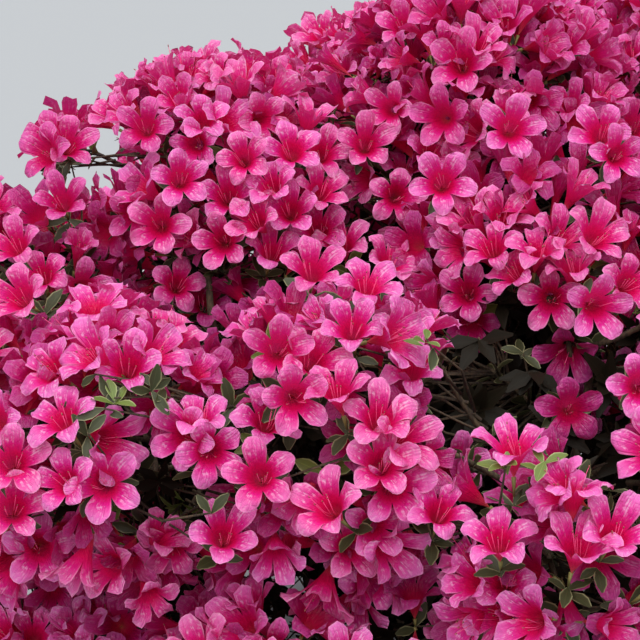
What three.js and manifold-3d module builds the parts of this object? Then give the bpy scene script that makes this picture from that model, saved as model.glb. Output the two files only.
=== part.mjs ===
// An azalea shrub in full bloom: a short main stem, boughs that rise and spread from it,
// and masses of twigs that carry leaves and five-lobed blossoms to the crown's outline.
// Sizes are in millimetres, +Z is up, the ground is z = 0 and the stem stands at the origin.
// The side that the picture shows faces -Y.
import * as THREE from "three";
import { mergeVertices } from "three/addons/utils/BufferGeometryUtils.js";
import Module from "manifold-3d";

const wasm = await Module();
wasm.setup();

const UP = new THREE.Vector3(0, 0, 1);
const GOLDEN_ANGLE = Math.PI * (3 - Math.sqrt(5));
const CLEARANCE = 0.35; // between solids that meet

// The crown is a dome about a point above the ground, widest below its middle.
const CROWN = { halfWidth: 500, halfDepth: 480, halfHeight: 400, middle: 300, skirt: 45 };

// The crown's surface is made of rounded mounds of bloom.
const MOUND = { count: 50, radius: 116, spread: 13, lowest: 150, apart: 128 };

// The mounds that show in the picture: x, y and z of the centre, and the radius.
const NEAR_MOUNDS = {
  middle: [-122, -279, 447, 95],
  left: [-262, -269, 438, 95],
  low_right: [21, -351, 420, 85],
  right_edge: [76, -257, 449, 75],
  behind_hollow: [29, -108, 495, 100],
  summit: [-16, 22, 560, 120],
  back_left: [-198, -8, 515, 115],
  far_left: [-331, -39, 470, 95],
  outlier: [-322, 20, 536, 50],
  left_edge: [-346, -232, 462, 64],
};

// Main stem: radius and height down its outline, from the flat cut at the ground to its top.
const STEM = {
  outline: [
    [47, 0],
    [37, 9],
    [31, 26],
    [28, 62],
    [25, 100],
    [15, 114],
  ],
  sides: 10,
  lean: 9,
  flareLobes: 5,
  flareDepth: 0.14,
  flareHeight: 30,
};

// Rings of boughs. Each bough leaves the stem at rootHeight and ends tipReach out and tipHeight up.
// Its mass of foliage gathers round a point siteReach out and siteHeight up.
const RINGS = [
  {
    name: "top",
    count: 1,
    phase: 0,
    rootHeight: 104,
    tipReach: 12,
    tipHeight: 372,
    siteReach: 20,
    siteHeight: 520,
    rootRadius: 13,
    tipRadius: 7.5,
  },
  {
    name: "upper",
    count: 6,
    phase: 6,
    rootHeight: 84,
    tipReach: 158,
    tipHeight: 318,
    siteReach: 262,
    siteHeight: 425,
    rootRadius: 12,
    tipRadius: 7,
  },
  {
    name: "lower",
    count: 8,
    phase: 24,
    rootHeight: 44,
    tipReach: 212,
    tipHeight: 158,
    siteReach: 345,
    siteHeight: 190,
    rootRadius: 10.5,
    tipRadius: 6.5,
  },
];
// A bough sways from the even ring, starts with less rise than it ends with, and bends at an
// early and a late share of its way.
const BOUGH = { sides: 6, steps: 6, sway: 13, rootSway: 8, rise: 0.55, early: 0.34, late: 0.28 };

// Each mass has a stem, branches that leave it and twigs that leave them, each thinner than what
// carries it. radius is at the root and at the end. length is a share of the way to what is fed,
// and bare is the share that carries nothing.
const GROWTH = {
  stem: { radius: [6, 5], sides: 6, length: 0.42, bare: 0.3 },
  branch: { radius: [3.4, 2.8], sides: 4, length: 0.74, bare: 0.3 },
  twig: { radius: [1.6, 1.7], sides: 3 },
};
const FEWEST = 3; // blossoms on a branch
const LIMB_ROOM = 2; // that twigs leave round the boughs
const TEST_STEP = 4; // between the points of a twig or bough that are tested for that room

// A blossom is a funnel with five blunt lobes. It stands for a truss, so it is larger than life.
// bluntness is half the angle of a lobe's end. It faces out of its mound, and leans out of the
// crown, up to the light and at random by these shares.
const BLOSSOM = {
  lobes: 5,
  radius: 44,
  notchRadius: 25,
  notchDrop: 3,
  bluntness: 21,
  depth: 27,
  throat: 14,
  leanOut: 0.4,
  leanUp: 0.3,
  waver: 0.35,
};

// Where a blossom may stand. pool is the number of places tried on a mound 100 mm in radius. A
// place faces out of the crown and not straight down, and may lie a little inside a next mound.
const PLACES = { pool: 420, spacing: 88, facing: 0.12, down: -0.8, inside: 4, furthest: 0.97 };

// A leaf grows just below its blossom, between level and upright. share of the blossoms have one.
const LEAF = { length: 50, width: 19, thickness: 3.2, share: 0.34, below: 8, sink: 0.6, lift: 0.45 };

const PINK = new THREE.MeshStandardMaterial({ color: "#d8327f", roughness: 0.6, metalness: 0 });
const BARK = new THREE.MeshStandardMaterial({ color: "#5d4a3c", roughness: 0.9, metalness: 0 });

// An even number from 0 to 1 for a whole-number key and channel, mixed from their bits.
function chance(key, channel) {
  let mixed = Math.imul(key + 1, 374761393) ^ Math.imul(channel + 1, 668265263);
  mixed = Math.imul(mixed ^ (mixed >>> 13), 1274126177);
  mixed = Math.imul(mixed ^ (mixed >>> 15), 2146121005);
  return ((mixed ^ (mixed >>> 16)) >>> 0) / 2 ** 32;
}

// A vector whose three parts are even from -1 to 1.
function scatter(key, channel) {
  return new THREE.Vector3(
    2 * chance(key, channel) - 1,
    2 * chance(key, channel + 1) - 1,
    2 * chance(key, channel + 2) - 1,
  );
}

// Direction number index of count that a golden-angle spiral spreads evenly over a sphere.
function spiral(count, index) {
  const height = 1 - (2 * index + 1) / count;
  const out = Math.sqrt(1 - height * height);
  const turn = index * GOLDEN_ANGLE;
  return new THREE.Vector3(out * Math.cos(turn), out * Math.sin(turn), height);
}

// The way out of the crown at a point, which is the dome's own normal there.
function outwards(point) {
  return new THREE.Vector3(
    point.x / CROWN.halfWidth ** 2,
    point.y / CROWN.halfDepth ** 2,
    (point.z - CROWN.middle) / CROWN.halfHeight ** 2,
  ).normalize();
}

// The near mounds, then a spiral of others over the rest of the dome.
function crownMounds() {
  const near = Object.values(NEAR_MOUNDS).map(([x, y, z, radius]) => ({
    centre: new THREE.Vector3(x, y, z),
    radius,
  }));
  const rest = [];
  for (let index = 0; index < MOUND.count; index++) {
    const way = spiral(MOUND.count, index);
    const radius = MOUND.radius + MOUND.spread * (2 * chance(index, 1) - 1);
    const centre = new THREE.Vector3(
      way.x * (CROWN.halfWidth - radius),
      way.y * (CROWN.halfDepth - radius),
      CROWN.middle + way.z * (CROWN.halfHeight - radius),
    );
    const clear = near.every((mound) => mound.centre.distanceTo(centre) > MOUND.apart);
    if (clear && centre.z > MOUND.lowest) rest.push({ centre, radius });
  }
  return [...near, ...rest];
}

// The boughs' names, roots, tips and sizes, with the middle of the mass that each one feeds.
function boughPlans() {
  const plans = [];
  for (const ring of RINGS) {
    for (let index = 0; index < ring.count; index++) {
      const key = plans.length;
      const turn = THREE.MathUtils.degToRad(ring.phase + (360 / ring.count) * index - 90);
      const out = new THREE.Vector3(Math.cos(turn), Math.sin(turn), 0);
      const sway = scatter(key, 20).multiplyScalar(BOUGH.sway);
      const at = (reach, height) => out.clone().multiplyScalar(reach).setZ(height);
      plans.push({
        name: ring.count === 1 ? ring.name : `${ring.name}_${index + 1}`,
        root: stemAxis(ring.rootHeight + BOUGH.rootSway * (2 * chance(key, 3) - 1)),
        tip: at(ring.tipReach, ring.tipHeight).add(sway),
        site: at(ring.siteReach, ring.siteHeight),
        rootRadius: ring.rootRadius,
        tipRadius: ring.tipRadius,
        key,
      });
    }
  }
  return plans;
}

// The middle of the leaning main stem at a height.
function stemAxis(height) {
  const top = STEM.outline.at(-1)[1];
  return new THREE.Vector3(STEM.lean * (height / top) ** 2, 0, height);
}

// A closed geometry as a solid. Only positions are kept, so that shared corners merge.
function solidOf(geometry) {
  const bare = new THREE.BufferGeometry();
  bare.setAttribute("position", geometry.getAttribute("position"));
  if (geometry.index) bare.setIndex(geometry.index);
  const merged = mergeVertices(bare, 1e-3);
  return new wasm.Manifold(
    new wasm.Mesh({
      numProp: 3,
      vertProperties: new Float32Array(merged.attributes.position.array),
      triVerts: new Uint32Array(merged.index.array),
    }),
  );
}

// The largest body of a solid, with the hollows that joining sealed in it filled.
function wholeBody(solid) {
  return solid.decompose().reduce((a, b) => (b.volume() > a.volume() ? b : a));
}

function meshOf(solid, name, material) {
  const { vertProperties, triVerts } = solid.getMesh();
  const geometry = new THREE.BufferGeometry();
  geometry.setAttribute("position", new THREE.BufferAttribute(vertProperties, 3));
  geometry.setIndex(new THREE.BufferAttribute(triVerts, 1));
  geometry.computeVertexNormals();
  const mesh = new THREE.Mesh(geometry, material);
  mesh.name = name;
  return mesh;
}

// The main stem as a turned outline, pressed into root lobes near the ground and leaned over.
function stemSolid(grow) {
  const rows = STEM.outline.map(([radius, height]) => [radius + grow, height]);
  rows[0][1] -= grow;
  rows[rows.length - 1][1] += grow;
  const bottom = new THREE.Vector2(0, rows[0][1]);
  const top = new THREE.Vector2(0, rows.at(-1)[1]);
  const profile = [bottom, ...rows.map(([radius, height]) => new THREE.Vector2(radius, height)), top];
  const geometry = new THREE.LatheGeometry(profile, STEM.sides).rotateX(Math.PI / 2);
  const place = geometry.getAttribute("position");
  for (let vertex = 0; vertex < place.count; vertex++) {
    const point = new THREE.Vector3().fromBufferAttribute(place, vertex);
    const turn = Math.atan2(point.y, point.x);
    const low = Math.max(0, 1 - Math.max(0, point.z) / STEM.flareHeight);
    const swell = 1 + STEM.flareDepth * low * Math.cos(STEM.flareLobes * turn);
    const shift = stemAxis(Math.max(0, point.z)).x;
    place.setXY(vertex, point.x * swell + shift, point.y * swell);
  }
  return solidOf(geometry);
}

// A bough leaves the stem nearly level, bends up, sways a little, and ends on its way to the
// middle of its mass.
function boughCurve(plan) {
  const way = plan.tip.clone().sub(plan.root);
  const level = way.clone().setZ(way.z * BOUGH.rise);
  const early = plan.root.clone().addScaledVector(level, BOUGH.early);
  early.add(scatter(plan.key, 30).multiplyScalar(BOUGH.sway));
  const onwards = plan.site.clone().sub(plan.tip).normalize();
  const late = plan.tip.clone().addScaledVector(onwards, -BOUGH.late * way.length());
  return new THREE.CatmullRomCurve3([plan.root, early, late, plan.tip]);
}

// A tapering cylinder bent along the bough's curve.
function boughSolid(plan, grow) {
  const length = plan.curve.getLength();
  const geometry = new THREE.CylinderGeometry(
    plan.tipRadius + grow,
    plan.rootRadius + grow,
    length,
    BOUGH.sides,
    BOUGH.steps,
  );
  const frames = plan.curve.computeFrenetFrames(BOUGH.steps);
  const place = geometry.getAttribute("position");
  for (let vertex = 0; vertex < place.count; vertex++) {
    const share = THREE.MathUtils.clamp(place.getY(vertex) / length + 0.5, 0, 1);
    const step = Math.round(share * BOUGH.steps);
    const point = plan.curve
      .getPointAt(share)
      .addScaledVector(frames.normals[step], place.getX(vertex))
      .addScaledVector(frames.binormals[step], -place.getZ(vertex))
      .addScaledVector(frames.tangents[step], grow * (2 * share - 1));
    place.setXYZ(vertex, ...point.toArray());
  }
  return solidOf(geometry);
}

// A straight tapering limb from one point to another.
function limbGeometry(from, to, fromRadius, toRadius, sides) {
  const way = to.clone().sub(from);
  const turn = new THREE.Quaternion().setFromUnitVectors(
    new THREE.Vector3(0, 1, 0),
    way.clone().normalize(),
  );
  const middle = from.clone().addScaledVector(way, 0.5);
  return new THREE.CylinderGeometry(toRadius, fromRadius, way.length(), sides)
    .applyQuaternion(turn)
    .translate(...middle.toArray());
}

// The corners round a blossom's rim as angle, radius and height above its foot. Each lobe has
// the notch before it and the two corners of its blunt end.
function blossomRim() {
  const lobeTurn = 360 / BLOSSOM.lobes;
  const corners = [];
  for (let lobe = 0; lobe < BLOSSOM.lobes; lobe++) {
    const middle = lobe * lobeTurn;
    corners.push(
      [middle - lobeTurn / 2, BLOSSOM.notchRadius, BLOSSOM.depth - BLOSSOM.notchDrop],
      [middle - BLOSSOM.bluntness, BLOSSOM.radius, BLOSSOM.depth],
      [middle + BLOSSOM.bluntness, BLOSSOM.radius, BLOSSOM.depth],
    );
  }
  return corners;
}

// A twig and its blossom as one closed skin: three corners at the twig's root, three at the
// blossom's foot, the corners of its rim, and a point down in its throat.
function flowerGeometry(root, foot, facing, roll) {
  const way = foot.clone().sub(root).normalize();
  const atFoot = new THREE.Quaternion()
    .setFromUnitVectors(UP, facing)
    .multiply(new THREE.Quaternion().setFromAxisAngle(UP, roll));
  const atRoot = new THREE.Quaternion().setFromUnitVectors(facing, way).multiply(atFoot);
  const corner = (middle, turn, [degrees, radius, height]) =>
    new THREE.Vector3(radius, 0, height)
      .applyAxisAngle(UP, THREE.MathUtils.degToRad(degrees))
      .applyQuaternion(turn)
      .add(middle);
  const thirds = [0, 120, 240];
  const rim = blossomRim();
  const points = [
    ...thirds.map((degrees) => corner(root, atRoot, [degrees, GROWTH.twig.radius[0], 0])),
    ...thirds.map((degrees) => corner(foot, atFoot, [degrees, GROWTH.twig.radius[1], 0])),
    ...rim.map((place) => corner(foot, atFoot, place)),
    corner(foot, atFoot, [0, 0, BLOSSOM.depth - BLOSSOM.throat]),
  ];

  const faces = [0, 2, 1];
  const firstRim = 6;
  const throat = firstRim + rim.length;
  const share = rim.length / 3;
  for (let side = 0; side < 3; side++) {
    const next = (side + 1) % 3;
    faces.push(side, next, next + 3, side, next + 3, side + 3);
    for (let step = 0; step < share; step++) {
      const here = firstRim + side * share + step;
      const after = firstRim + ((side * share + step + 1) % rim.length);
      faces.push(side + 3, after, here, here, after, throat);
      if (step === share - 1) faces.push(side + 3, next + 3, after);
    }
  }
  return new THREE.BufferGeometry().setFromPoints(points).setIndex(faces);
}

// An eight-faced blade from its root along a direction, turned flat to a second one.
function leafGeometry(root, along, flat) {
  const across = new THREE.Vector3().crossVectors(flat, along).normalize();
  const upright = new THREE.Vector3().crossVectors(along, across);
  const frame = new THREE.Matrix4().makeBasis(along, across, upright);
  return new THREE.OctahedronGeometry(1)
    .scale(LEAF.length / 2, LEAF.width / 2, LEAF.thickness / 2)
    .translate(LEAF.length / 2, 0, 0)
    .applyMatrix4(frame)
    .translate(...root.toArray());
}

// How far a point lies inside a mass's own space: its distance to the nearest plane that
// stands halfway between the middle of this mass and the middle of another.
function insideBy(point, own, sites) {
  let least = Infinity;
  for (const site of sites) {
    if (site === own) continue;
    const way = site.clone().sub(own);
    const halfway = own.clone().addScaledVector(way, 0.5);
    least = Math.min(least, halfway.sub(point).dot(way) / way.length());
  }
  return least;
}

// Moves a point away from the planes round its mass until it is at least room inside them.
function drawnInside(point, own, sites, room) {
  for (let round = 0; round < 4; round++) {
    for (const site of sites) {
      if (site === own) continue;
      const way = site.clone().sub(own);
      const halfway = own.clone().addScaledVector(way, 0.5);
      const depth = halfway.sub(point).dot(way) / way.length();
      if (depth < room) point.addScaledVector(way.normalize(), depth - room);
    }
  }
  return point;
}

// Where blossoms stand. Candidates lie on a spiral over each mound. Each is kept if it is on the
// crown's outside, clear of every other mound, and a full spacing from all that were kept before
// it: first those that reach out furthest on their mound, then the others from the top down.
function crownTips(mounds, sites) {
  const found = [];
  mounds.forEach((mound, number) => {
    const count = Math.round(PLACES.pool * (mound.radius / 100) ** 2);
    for (let index = 0; index < count; index++) {
      const way = spiral(count, index);
      const place = mound.centre.clone().addScaledVector(way, mound.radius);
      const hidden = mounds.some(
        (other) =>
          other !== mound && other.centre.distanceTo(place) < other.radius - PLACES.inside,
      );
      const facesIn = way.dot(outwards(place)) < PLACES.facing || way.z < PLACES.down;
      if (hidden || facesIn || place.z < CROWN.skirt) continue;
      const key = number * 4096 + index;
      const furthest = way.dot(outwards(mound.centre)) > PLACES.furthest;
      const order = furthest ? -CROWN.halfHeight : CROWN.middle - place.z;
      found.push({ key, mound, way, place, order });
    }
  });
  found.sort((a, b) => a.order - b.order);
  const kept = [];
  for (const tip of found) {
    const own = sites.reduce((a, b) =>
      b.distanceTo(tip.place) < a.distanceTo(tip.place) ? b : a,
    );
    drawnInside(tip.place, own, sites, BLOSSOM.radius + 1);
    if (kept.some((other) => other.place.distanceTo(tip.place) < PLACES.spacing)) continue;
    kept.push({ ...tip, own });
  }
  return kept;
}

// Points from one to another, each at most a test step from the last.
function pointsBetween(from, to) {
  const count = Math.ceil(from.distanceTo(to) / TEST_STEP);
  return Array.from({ length: count + 1 }, (_, index) => from.clone().lerp(to, index / count));
}

function cornersOf(geometry) {
  const place = geometry.getAttribute("position");
  return Array.from({ length: place.count }, (_, vertex) =>
    new THREE.Vector3().fromBufferAttribute(place, vertex),
  );
}

// The tips of a mass in the groups that its branches feed, one to a mound. A group of fewer than
// FEWEST joins the nearest other group.
function tipGroups(tips) {
  const groups = [...new Set(tips.map((tip) => tip.mound))].map((mound) =>
    tips.filter((tip) => tip.mound === mound),
  );
  groups.sort((a, b) => b.length - a.length);
  while (groups.length > 1 && groups.at(-1).length < FEWEST) {
    const few = groups.pop();
    const from = middleOf(few);
    const nearest = groups.reduce((a, b) =>
      middleOf(b).distanceTo(from) < middleOf(a).distanceTo(from) ? b : a,
    );
    nearest.push(...few);
    groups.sort((a, b) => b.length - a.length);
  }
  return groups;
}

function middleOf(tips) {
  const sum = tips.reduce((total, tip) => total.add(tip.place), new THREE.Vector3());
  return sum.divideScalar(tips.length);
}

// Where on a limb each of the things that it feeds is carried: at even steps from the end of its
// bare stretch to its end, the one least far along first.
function rootsAlong(start, end, bare, fed, placeOf) {
  const along = end.clone().sub(start).normalize();
  const forward = (item) => placeOf(item).clone().sub(start).dot(along);
  const sorted = [...fed].sort((a, b) => forward(a) - forward(b));
  const last = start.distanceTo(end) - GROWTH.twig.radius[0];
  return sorted.map((item, index) => {
    const share = bare + ((1 - bare) * (index + 1)) / sorted.length;
    return { item, root: start.clone().addScaledVector(along, last * share) };
  });
}

// One mass: a stem on from the bough's tip, a branch towards each mound that it feeds, and on
// every branch a twig to each blossom, with a leaf beside most of them.
function massSolid(plan, tips, sites, limbSpots) {
  const pieces = [];
  const keeps = (geometry) =>
    cornersOf(geometry).every((corner) => insideBy(corner, plan.site, sites) > CLEARANCE);
  const touches = (from, to, radius) =>
    pointsBetween(from, to).some((spot) =>
      limbSpots.some((limb) => limb.place.distanceTo(spot) < limb.radius + radius + LIMB_ROOM),
    );
  const addLimb = (from, to, { radius, sides }) =>
    pieces.push(solidOf(limbGeometry(from, to, ...radius, sides)));

  const heading = plan.curve.getTangentAt(1);
  const start = plan.tip.clone().addScaledVector(heading, CLEARANCE);
  const stemLength = GROWTH.stem.length * plan.tip.distanceTo(plan.site);
  const hub = start.clone().addScaledVector(heading, stemLength);
  addLimb(start, hub, GROWTH.stem);

  const branches = rootsAlong(start, hub, GROWTH.stem.bare, tipGroups(tips), middleOf);
  for (const { item: fed, root: branchRoot } of branches) {
    const branchEnd = branchRoot.clone().lerp(middleOf(fed), GROWTH.branch.length);
    if (touches(branchRoot, branchEnd, GROWTH.branch.radius[0])) continue;
    addLimb(branchRoot, branchEnd, GROWTH.branch);
    const bare = GROWTH.branch.bare;
    for (const { item: tip, root } of rootsAlong(branchRoot, branchEnd, bare, fed, (t) => t.place)) {
      const facing = tip.way
        .clone()
        .addScaledVector(outwards(tip.place), BLOSSOM.leanOut)
        .addScaledVector(UP, BLOSSOM.leanUp)
        .addScaledVector(scatter(tip.key, 5), BLOSSOM.waver)
        .normalize();
      const foot = tip.place.clone().addScaledVector(facing, -BLOSSOM.depth);
      const flower = flowerGeometry(root, foot, facing, 2 * Math.PI * chance(tip.key, 8));
      if (touches(root, foot, GROWTH.twig.radius[0]) || !keeps(flower)) continue;
      pieces.push(solidOf(flower));
      if (chance(tip.key, 9) > LEAF.share) continue;
      const back = root.clone().sub(foot).normalize();
      const along = scatter(tip.key, 10).cross(facing).normalize();
      along.addScaledVector(facing, LEAF.lift).normalize();
      const leafRoot = foot
        .clone()
        .addScaledVector(back, LEAF.below)
        .addScaledVector(along, -LEAF.sink);
      const leaf = leafGeometry(leafRoot, along, facing);
      if (keeps(leaf)) pieces.push(solidOf(leaf));
    }
  }
  return wholeBody(wasm.Manifold.union(pieces));
}

// Each bough is cut clear of the main stem and of the boughs that were made before it.
function boughSolids(plans) {
  const stem = stemSolid(CLEARANCE);
  const made = [];
  for (const plan of plans) {
    plan.curve = boughCurve(plan);
    let solid = boughSolid(plan, 0).subtract(stem);
    for (const other of made) solid = solid.subtract(boughSolid(other, CLEARANCE));
    made.push(plan);
    plan.solid = wholeBody(solid);
  }
}

// Points along every bough with the radius there, to keep twigs clear of them.
function spotsAlong(plans) {
  return plans.flatMap((plan) => {
    const count = Math.ceil(plan.curve.getLength() / TEST_STEP);
    return plan.curve.getSpacedPoints(count).map((place, index) => ({
      place,
      radius: THREE.MathUtils.lerp(plan.rootRadius, plan.tipRadius, index / count),
    }));
  });
}

const shrub = new THREE.Group();
shrub.add(meshOf(stemSolid(0), "main_stem", BARK));
const plans = boughPlans();
boughSolids(plans);
const sites = plans.map((plan) => plan.site);
const spots = spotsAlong(plans);
const tips = crownTips(crownMounds(), sites);
for (const plan of plans) {
  const own = tips.filter((tip) => tip.own === plan.site);
  shrub.add(meshOf(plan.solid, `bough_${plan.name}`, BARK));
  shrub.add(meshOf(massSolid(plan, own, sites, spots), `mass_${plan.name}`, PINK));
}

export default shrub;
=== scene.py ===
"""An azalea shrub in full bloom, grown round the frame of its limbs and masses.

The rule that grew the solids is written again here and carried to finer twigs, so every
blossom still hangs on a twig, a branch and a bough. Growth is worked out in millimetres.
"""

import math
from functools import lru_cache
from types import SimpleNamespace

import bpy
import numpy as np
from bpy.props import FloatProperty, FloatVectorProperty, IntProperty, PointerProperty
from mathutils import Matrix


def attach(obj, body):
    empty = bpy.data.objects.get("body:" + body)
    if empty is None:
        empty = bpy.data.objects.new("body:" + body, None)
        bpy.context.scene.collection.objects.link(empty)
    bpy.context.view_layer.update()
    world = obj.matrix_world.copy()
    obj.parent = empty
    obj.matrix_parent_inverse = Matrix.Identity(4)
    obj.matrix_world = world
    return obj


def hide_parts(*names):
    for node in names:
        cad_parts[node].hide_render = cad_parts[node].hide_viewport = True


bl_info = {
    "name": "Azalea Shrub",
    "version": (1, 0, 0),
    "blender": (4, 5, 0),
    "location": "3D View > Sidebar > Azalea",
    "description": "Grows an azalea shrub in full bloom round its solids",
    "category": "Add Mesh",
}

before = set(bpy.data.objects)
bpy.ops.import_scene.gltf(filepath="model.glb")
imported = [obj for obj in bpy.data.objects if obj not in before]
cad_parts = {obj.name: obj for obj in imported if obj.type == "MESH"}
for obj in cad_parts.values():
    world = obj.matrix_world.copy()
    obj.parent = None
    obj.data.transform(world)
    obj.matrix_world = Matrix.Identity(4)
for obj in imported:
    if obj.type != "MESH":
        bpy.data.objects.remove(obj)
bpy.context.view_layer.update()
BOUGHS = sorted(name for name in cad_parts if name.startswith("bough_"))
MASSES = sorted(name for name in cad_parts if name.startswith("mass_"))

MM = 0.001
UP = np.array([0.0, 0.0, 1.0])
GOLDEN_ANGLE = math.pi * (3 - math.sqrt(5))

# The crown's dome and its mounds, as in the solids.
CROWN = SimpleNamespace(half=np.array([500.0, 480.0, 400.0]), middle=300.0, skirt=45.0)
MOUND = SimpleNamespace(count=50, radius=116.0, spread=13.0, lowest=150.0, apart=128.0)
NEAR_MOUNDS = {
    "middle": (-122, -279, 447, 95),
    "left": (-262, -269, 438, 95),
    "low_right": (21, -351, 420, 85),
    "right_edge": (76, -257, 449, 75),
    "behind_hollow": (29, -108, 495, 100),
    "summit": (-16, 22, 560, 120),
    "back_left": (-198, -8, 515, 115),
    "far_left": (-331, -39, 470, 95),
    "outlier": (-322, 20, 536, 50),
    "left_edge": (-346, -232, 462, 64),
}

# The main stem's outline as radius and height, and the boughs that leave it: one leader, an
# upper ring and a lower one.
STEM = SimpleNamespace(
    outline=((47, 0), (37, 9), (31, 26), (28, 62), (25, 100), (15, 114)),
    lean=9.0,
    flare_lobes=5,
    flare_depth=0.14,
    flare_height=30.0,
    key=90,
)
RINGS = (
    SimpleNamespace(
        count=1, phase=0, root_height=104, tip_reach=12, tip_height=372,
        site_reach=20, site_height=520, root_radius=13, tip_radius=7.5,
    ),
    SimpleNamespace(
        count=6, phase=6, root_height=84, tip_reach=158, tip_height=318,
        site_reach=262, site_height=425, root_radius=12, tip_radius=7,
    ),
    SimpleNamespace(
        count=8, phase=24, root_height=44, tip_reach=212, tip_height=158,
        site_reach=345, site_height=190, root_radius=10.5, tip_radius=6.5,
    ),
)
BOUGH = SimpleNamespace(sway=13.0, root_sway=8.0, rise=0.55, early=0.34, late=0.28)

# Radii at the root and end of a mass's stem, branches and twigs, the shares of the way that they
# reach and that stay bare, and how far they bow aside, as a share of their length. Sprigs are
# the finer twigs that end in a truss or in a leafy spray.
STEMS = SimpleNamespace(radius=(6.0, 5.0), length=0.42, bare=0.3, bow=0.04)
BRANCHES = SimpleNamespace(radius=(3.6, 2.6), length=0.74, bare=0.3, bow=0.09)
TWIGS = SimpleNamespace(radius=(2.2, 1.5), length=0.8, bare=0.35, bow=0.09)
SPRIGS = SimpleNamespace(radius=(1.2, 0.6), bow=0.09)
# A branch for fewer tips than this is left out, and the nearest one feeds them.
FEWEST = 3

# The truss places go round the mounds into the clefts between them, and leafy sprays without
# bloom stand further in.
TRUSS_FACING = -0.1
INNER = SimpleNamespace(inset=46.0, spacing=45.0, facing=-0.6, leaves=7, recess=70.0)
# Trusses that stand back in the shade, where they fill the gaps between others, and whose blossoms
# take the darker pink, painted shade. They line one skin, blended over the mounds and over a base
# that closes the valleys. near is how exactly a place has to lie on it.
SHADED = SimpleNamespace(
    inset=22.0, spacing=38.0, pool=9000, blend=25.0, near=2.0, depth=30.0, leaves=2, steps=30,
    base=np.array([372.0, 352.0, 270.0]),
)
# Leafy sprays close the crown's heart. They stand on three shells inside it, deeper under the
# skin than a depth, and their leaves are larger.
HEART = SimpleNamespace(
    half=np.array([300.0, 285.0, 215.0]), middle=285.0, pool=6000, spacing=34.0,
    larger=1.35, leaves=12, shells=(1.15, 0.87, 0.52), lowest=80.0, under=50.0,
)

# The camera: its place, how many degrees it looks down, and its lens over a 640 pixel frame.
VIEW = SimpleNamespace(
    place=np.array([-127.0, -1176.0, 848.0]), drop=20.0, lens=94.2, sensor=36.0, pixels=640
)
# Blossoms that show plainly from the camera, truss by truss: the pixel of each one's throat, and
# how many degrees it faces to the right of the camera and above it.
LEADS = {
    "middle": ((351, 317, -5, 34), (314, 262, 5, 30), (372, 270, 15, 45), (396, 249, 25, 40)),
    "above the middle": (
        (291, 206, 0, 15), (327, 180, 20, 30), (341, 233, -10, 40), (250, 214, -25, 25),
        (277, 241, 15, 35),
    ),
    "below the middle": ((280, 350, 5, 5), (298, 398, 10, 0), (335, 376, -15, 50)),
    "foot": (
        (414, 432, 30, 20), (442, 503, 5, 35), (381, 408, 5, 35), (381, 459, 0, 22),
        (399, 487, 10, 5), (321, 499, -30, 30),
    ),
    "left foot": (
        (226, 528, 10, 30), (260, 471, 0, 18), (213, 456, 10, -5), (181, 438, -15, 0),
        (196, 404, 0, 60),
    ),
    "left": ((124, 355, 0, 32), (80, 346, -45, 30), (168, 340, 50, 35)),
    "lower left": (
        (12, 505, 10, 20), (53, 407, -25, 40), (14, 460, 10, 15), (101, 485, 0, 5),
        (57, 478, -20, 20),
    ),
    "upper left": (
        (8, 238, -20, 30), (10, 290, -20, 20), (40, 268, 0, 30), (156, 225, -5, 0),
        (221, 242, -5, 0), (141, 123, -5, 10), (183, 175, 10, 10),
    ),
    "outlier": ((47, 127, -10, 30), (70, 138, 20, 20), (34, 150, -30, 5)),
    "top": (
        (291, 140, 0, 25), (241, 154, -5, 10), (368, 141, 5, 10), (399, 195, 5, 0),
        (268, 178, -15, 30),
    ),
    "top right": ((444, 179, 0, 10), (512, 125, 0, 5), (598, 126, -15, 20), (622, 154, 5, 0)),
    "right": ((551, 300, -8, -5), (601, 306, 8, -5), (488, 235, -20, 35), (541, 238, 5, 50)),
    "far right": ((603, 228, 20, 25), (641, 384, -5, 5), (572, 252, -10, 55), (505, 262, -55, 35)),
    "lower right": (
        (515, 435, -5, 60), (576, 466, 20, 80), (640, 447, -50, 15), (548, 481, -65, 30),
        (497, 524, -10, 45), (580, 534, 5, 50), (620, 520, 10, 40),
    ),
}
# Blossoms in the light that fill the gaps between these, with how many millimetres each one
# stands back.
BEHIND = (
    (408, 334, 55, 10, 6), (570, 226, 30, 35, 12), (318, 222, 0, 20, 12), (466, 291, -10, 5, 14),
    (178, 280, 10, 15, 14), (228, 192, 0, 15, 12), (316, 352, 10, 25, 12), (60, 196, 0, 20, 0),
    (324, 146, 10, 20, 12), (636, 282, 20, 10, 14), (638, 122, 0, 10, 10),
    (122, 444, 50, -10, 14),
)
# Blossoms that show back in the shade, in the same way. They take the darker pink, painted shade.
HOLLOW_LEADS = (
    (574, 411, 0, 0, 105), (566, 364, -15, -30, 75), (470, 325, -10, -10, 22),
    (206, 296, 5, 20, 22),
)
# Leafy shoots without bloom that show, as pixel and facing: old ones and fresh ones.
OLD_SHOOTS = (
    (92, 374, -30, 5), (142, 374, 20, -5), (104, 408, 0, 15), (64, 402, -20, 0),
    (88, 432, 10, 20), (152, 392, 20, -10), (170, 388, 30, 10), (524, 352, 10, 30),
    (210, 512, -10, 20), (436, 348, 20, 0),
)
FRESH_SHOOTS = ((114, 395, 0, 60), (428, 336, 25, 45), (505, 463, -20, 50), (545, 458, 10, 60))

# Where the keys of each kind of truss, limb and spray start, after those of the trusses round the
# mounds. A leaf's key and a blossom's are those of what bears them, times how many it may bear.
KEYS_TO_A_MOUND = 4096
SHADED_KEY = 200000
TWIG_END_KEY = 500000
TWIG_MIDDLE_KEY = 505000
BRANCH_END_KEY = 700000
LEAD_KEY = 800000
HOLLOW_KEY = 840000
SHOOT_KEY = 850000
FRESH_KEY = 860000
HEART_KEY = 900000
INNER_KEY = 1000000
KEYS_TO_A_WHORL = 16
KEYS_TO_A_TRUSS = 4

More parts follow.
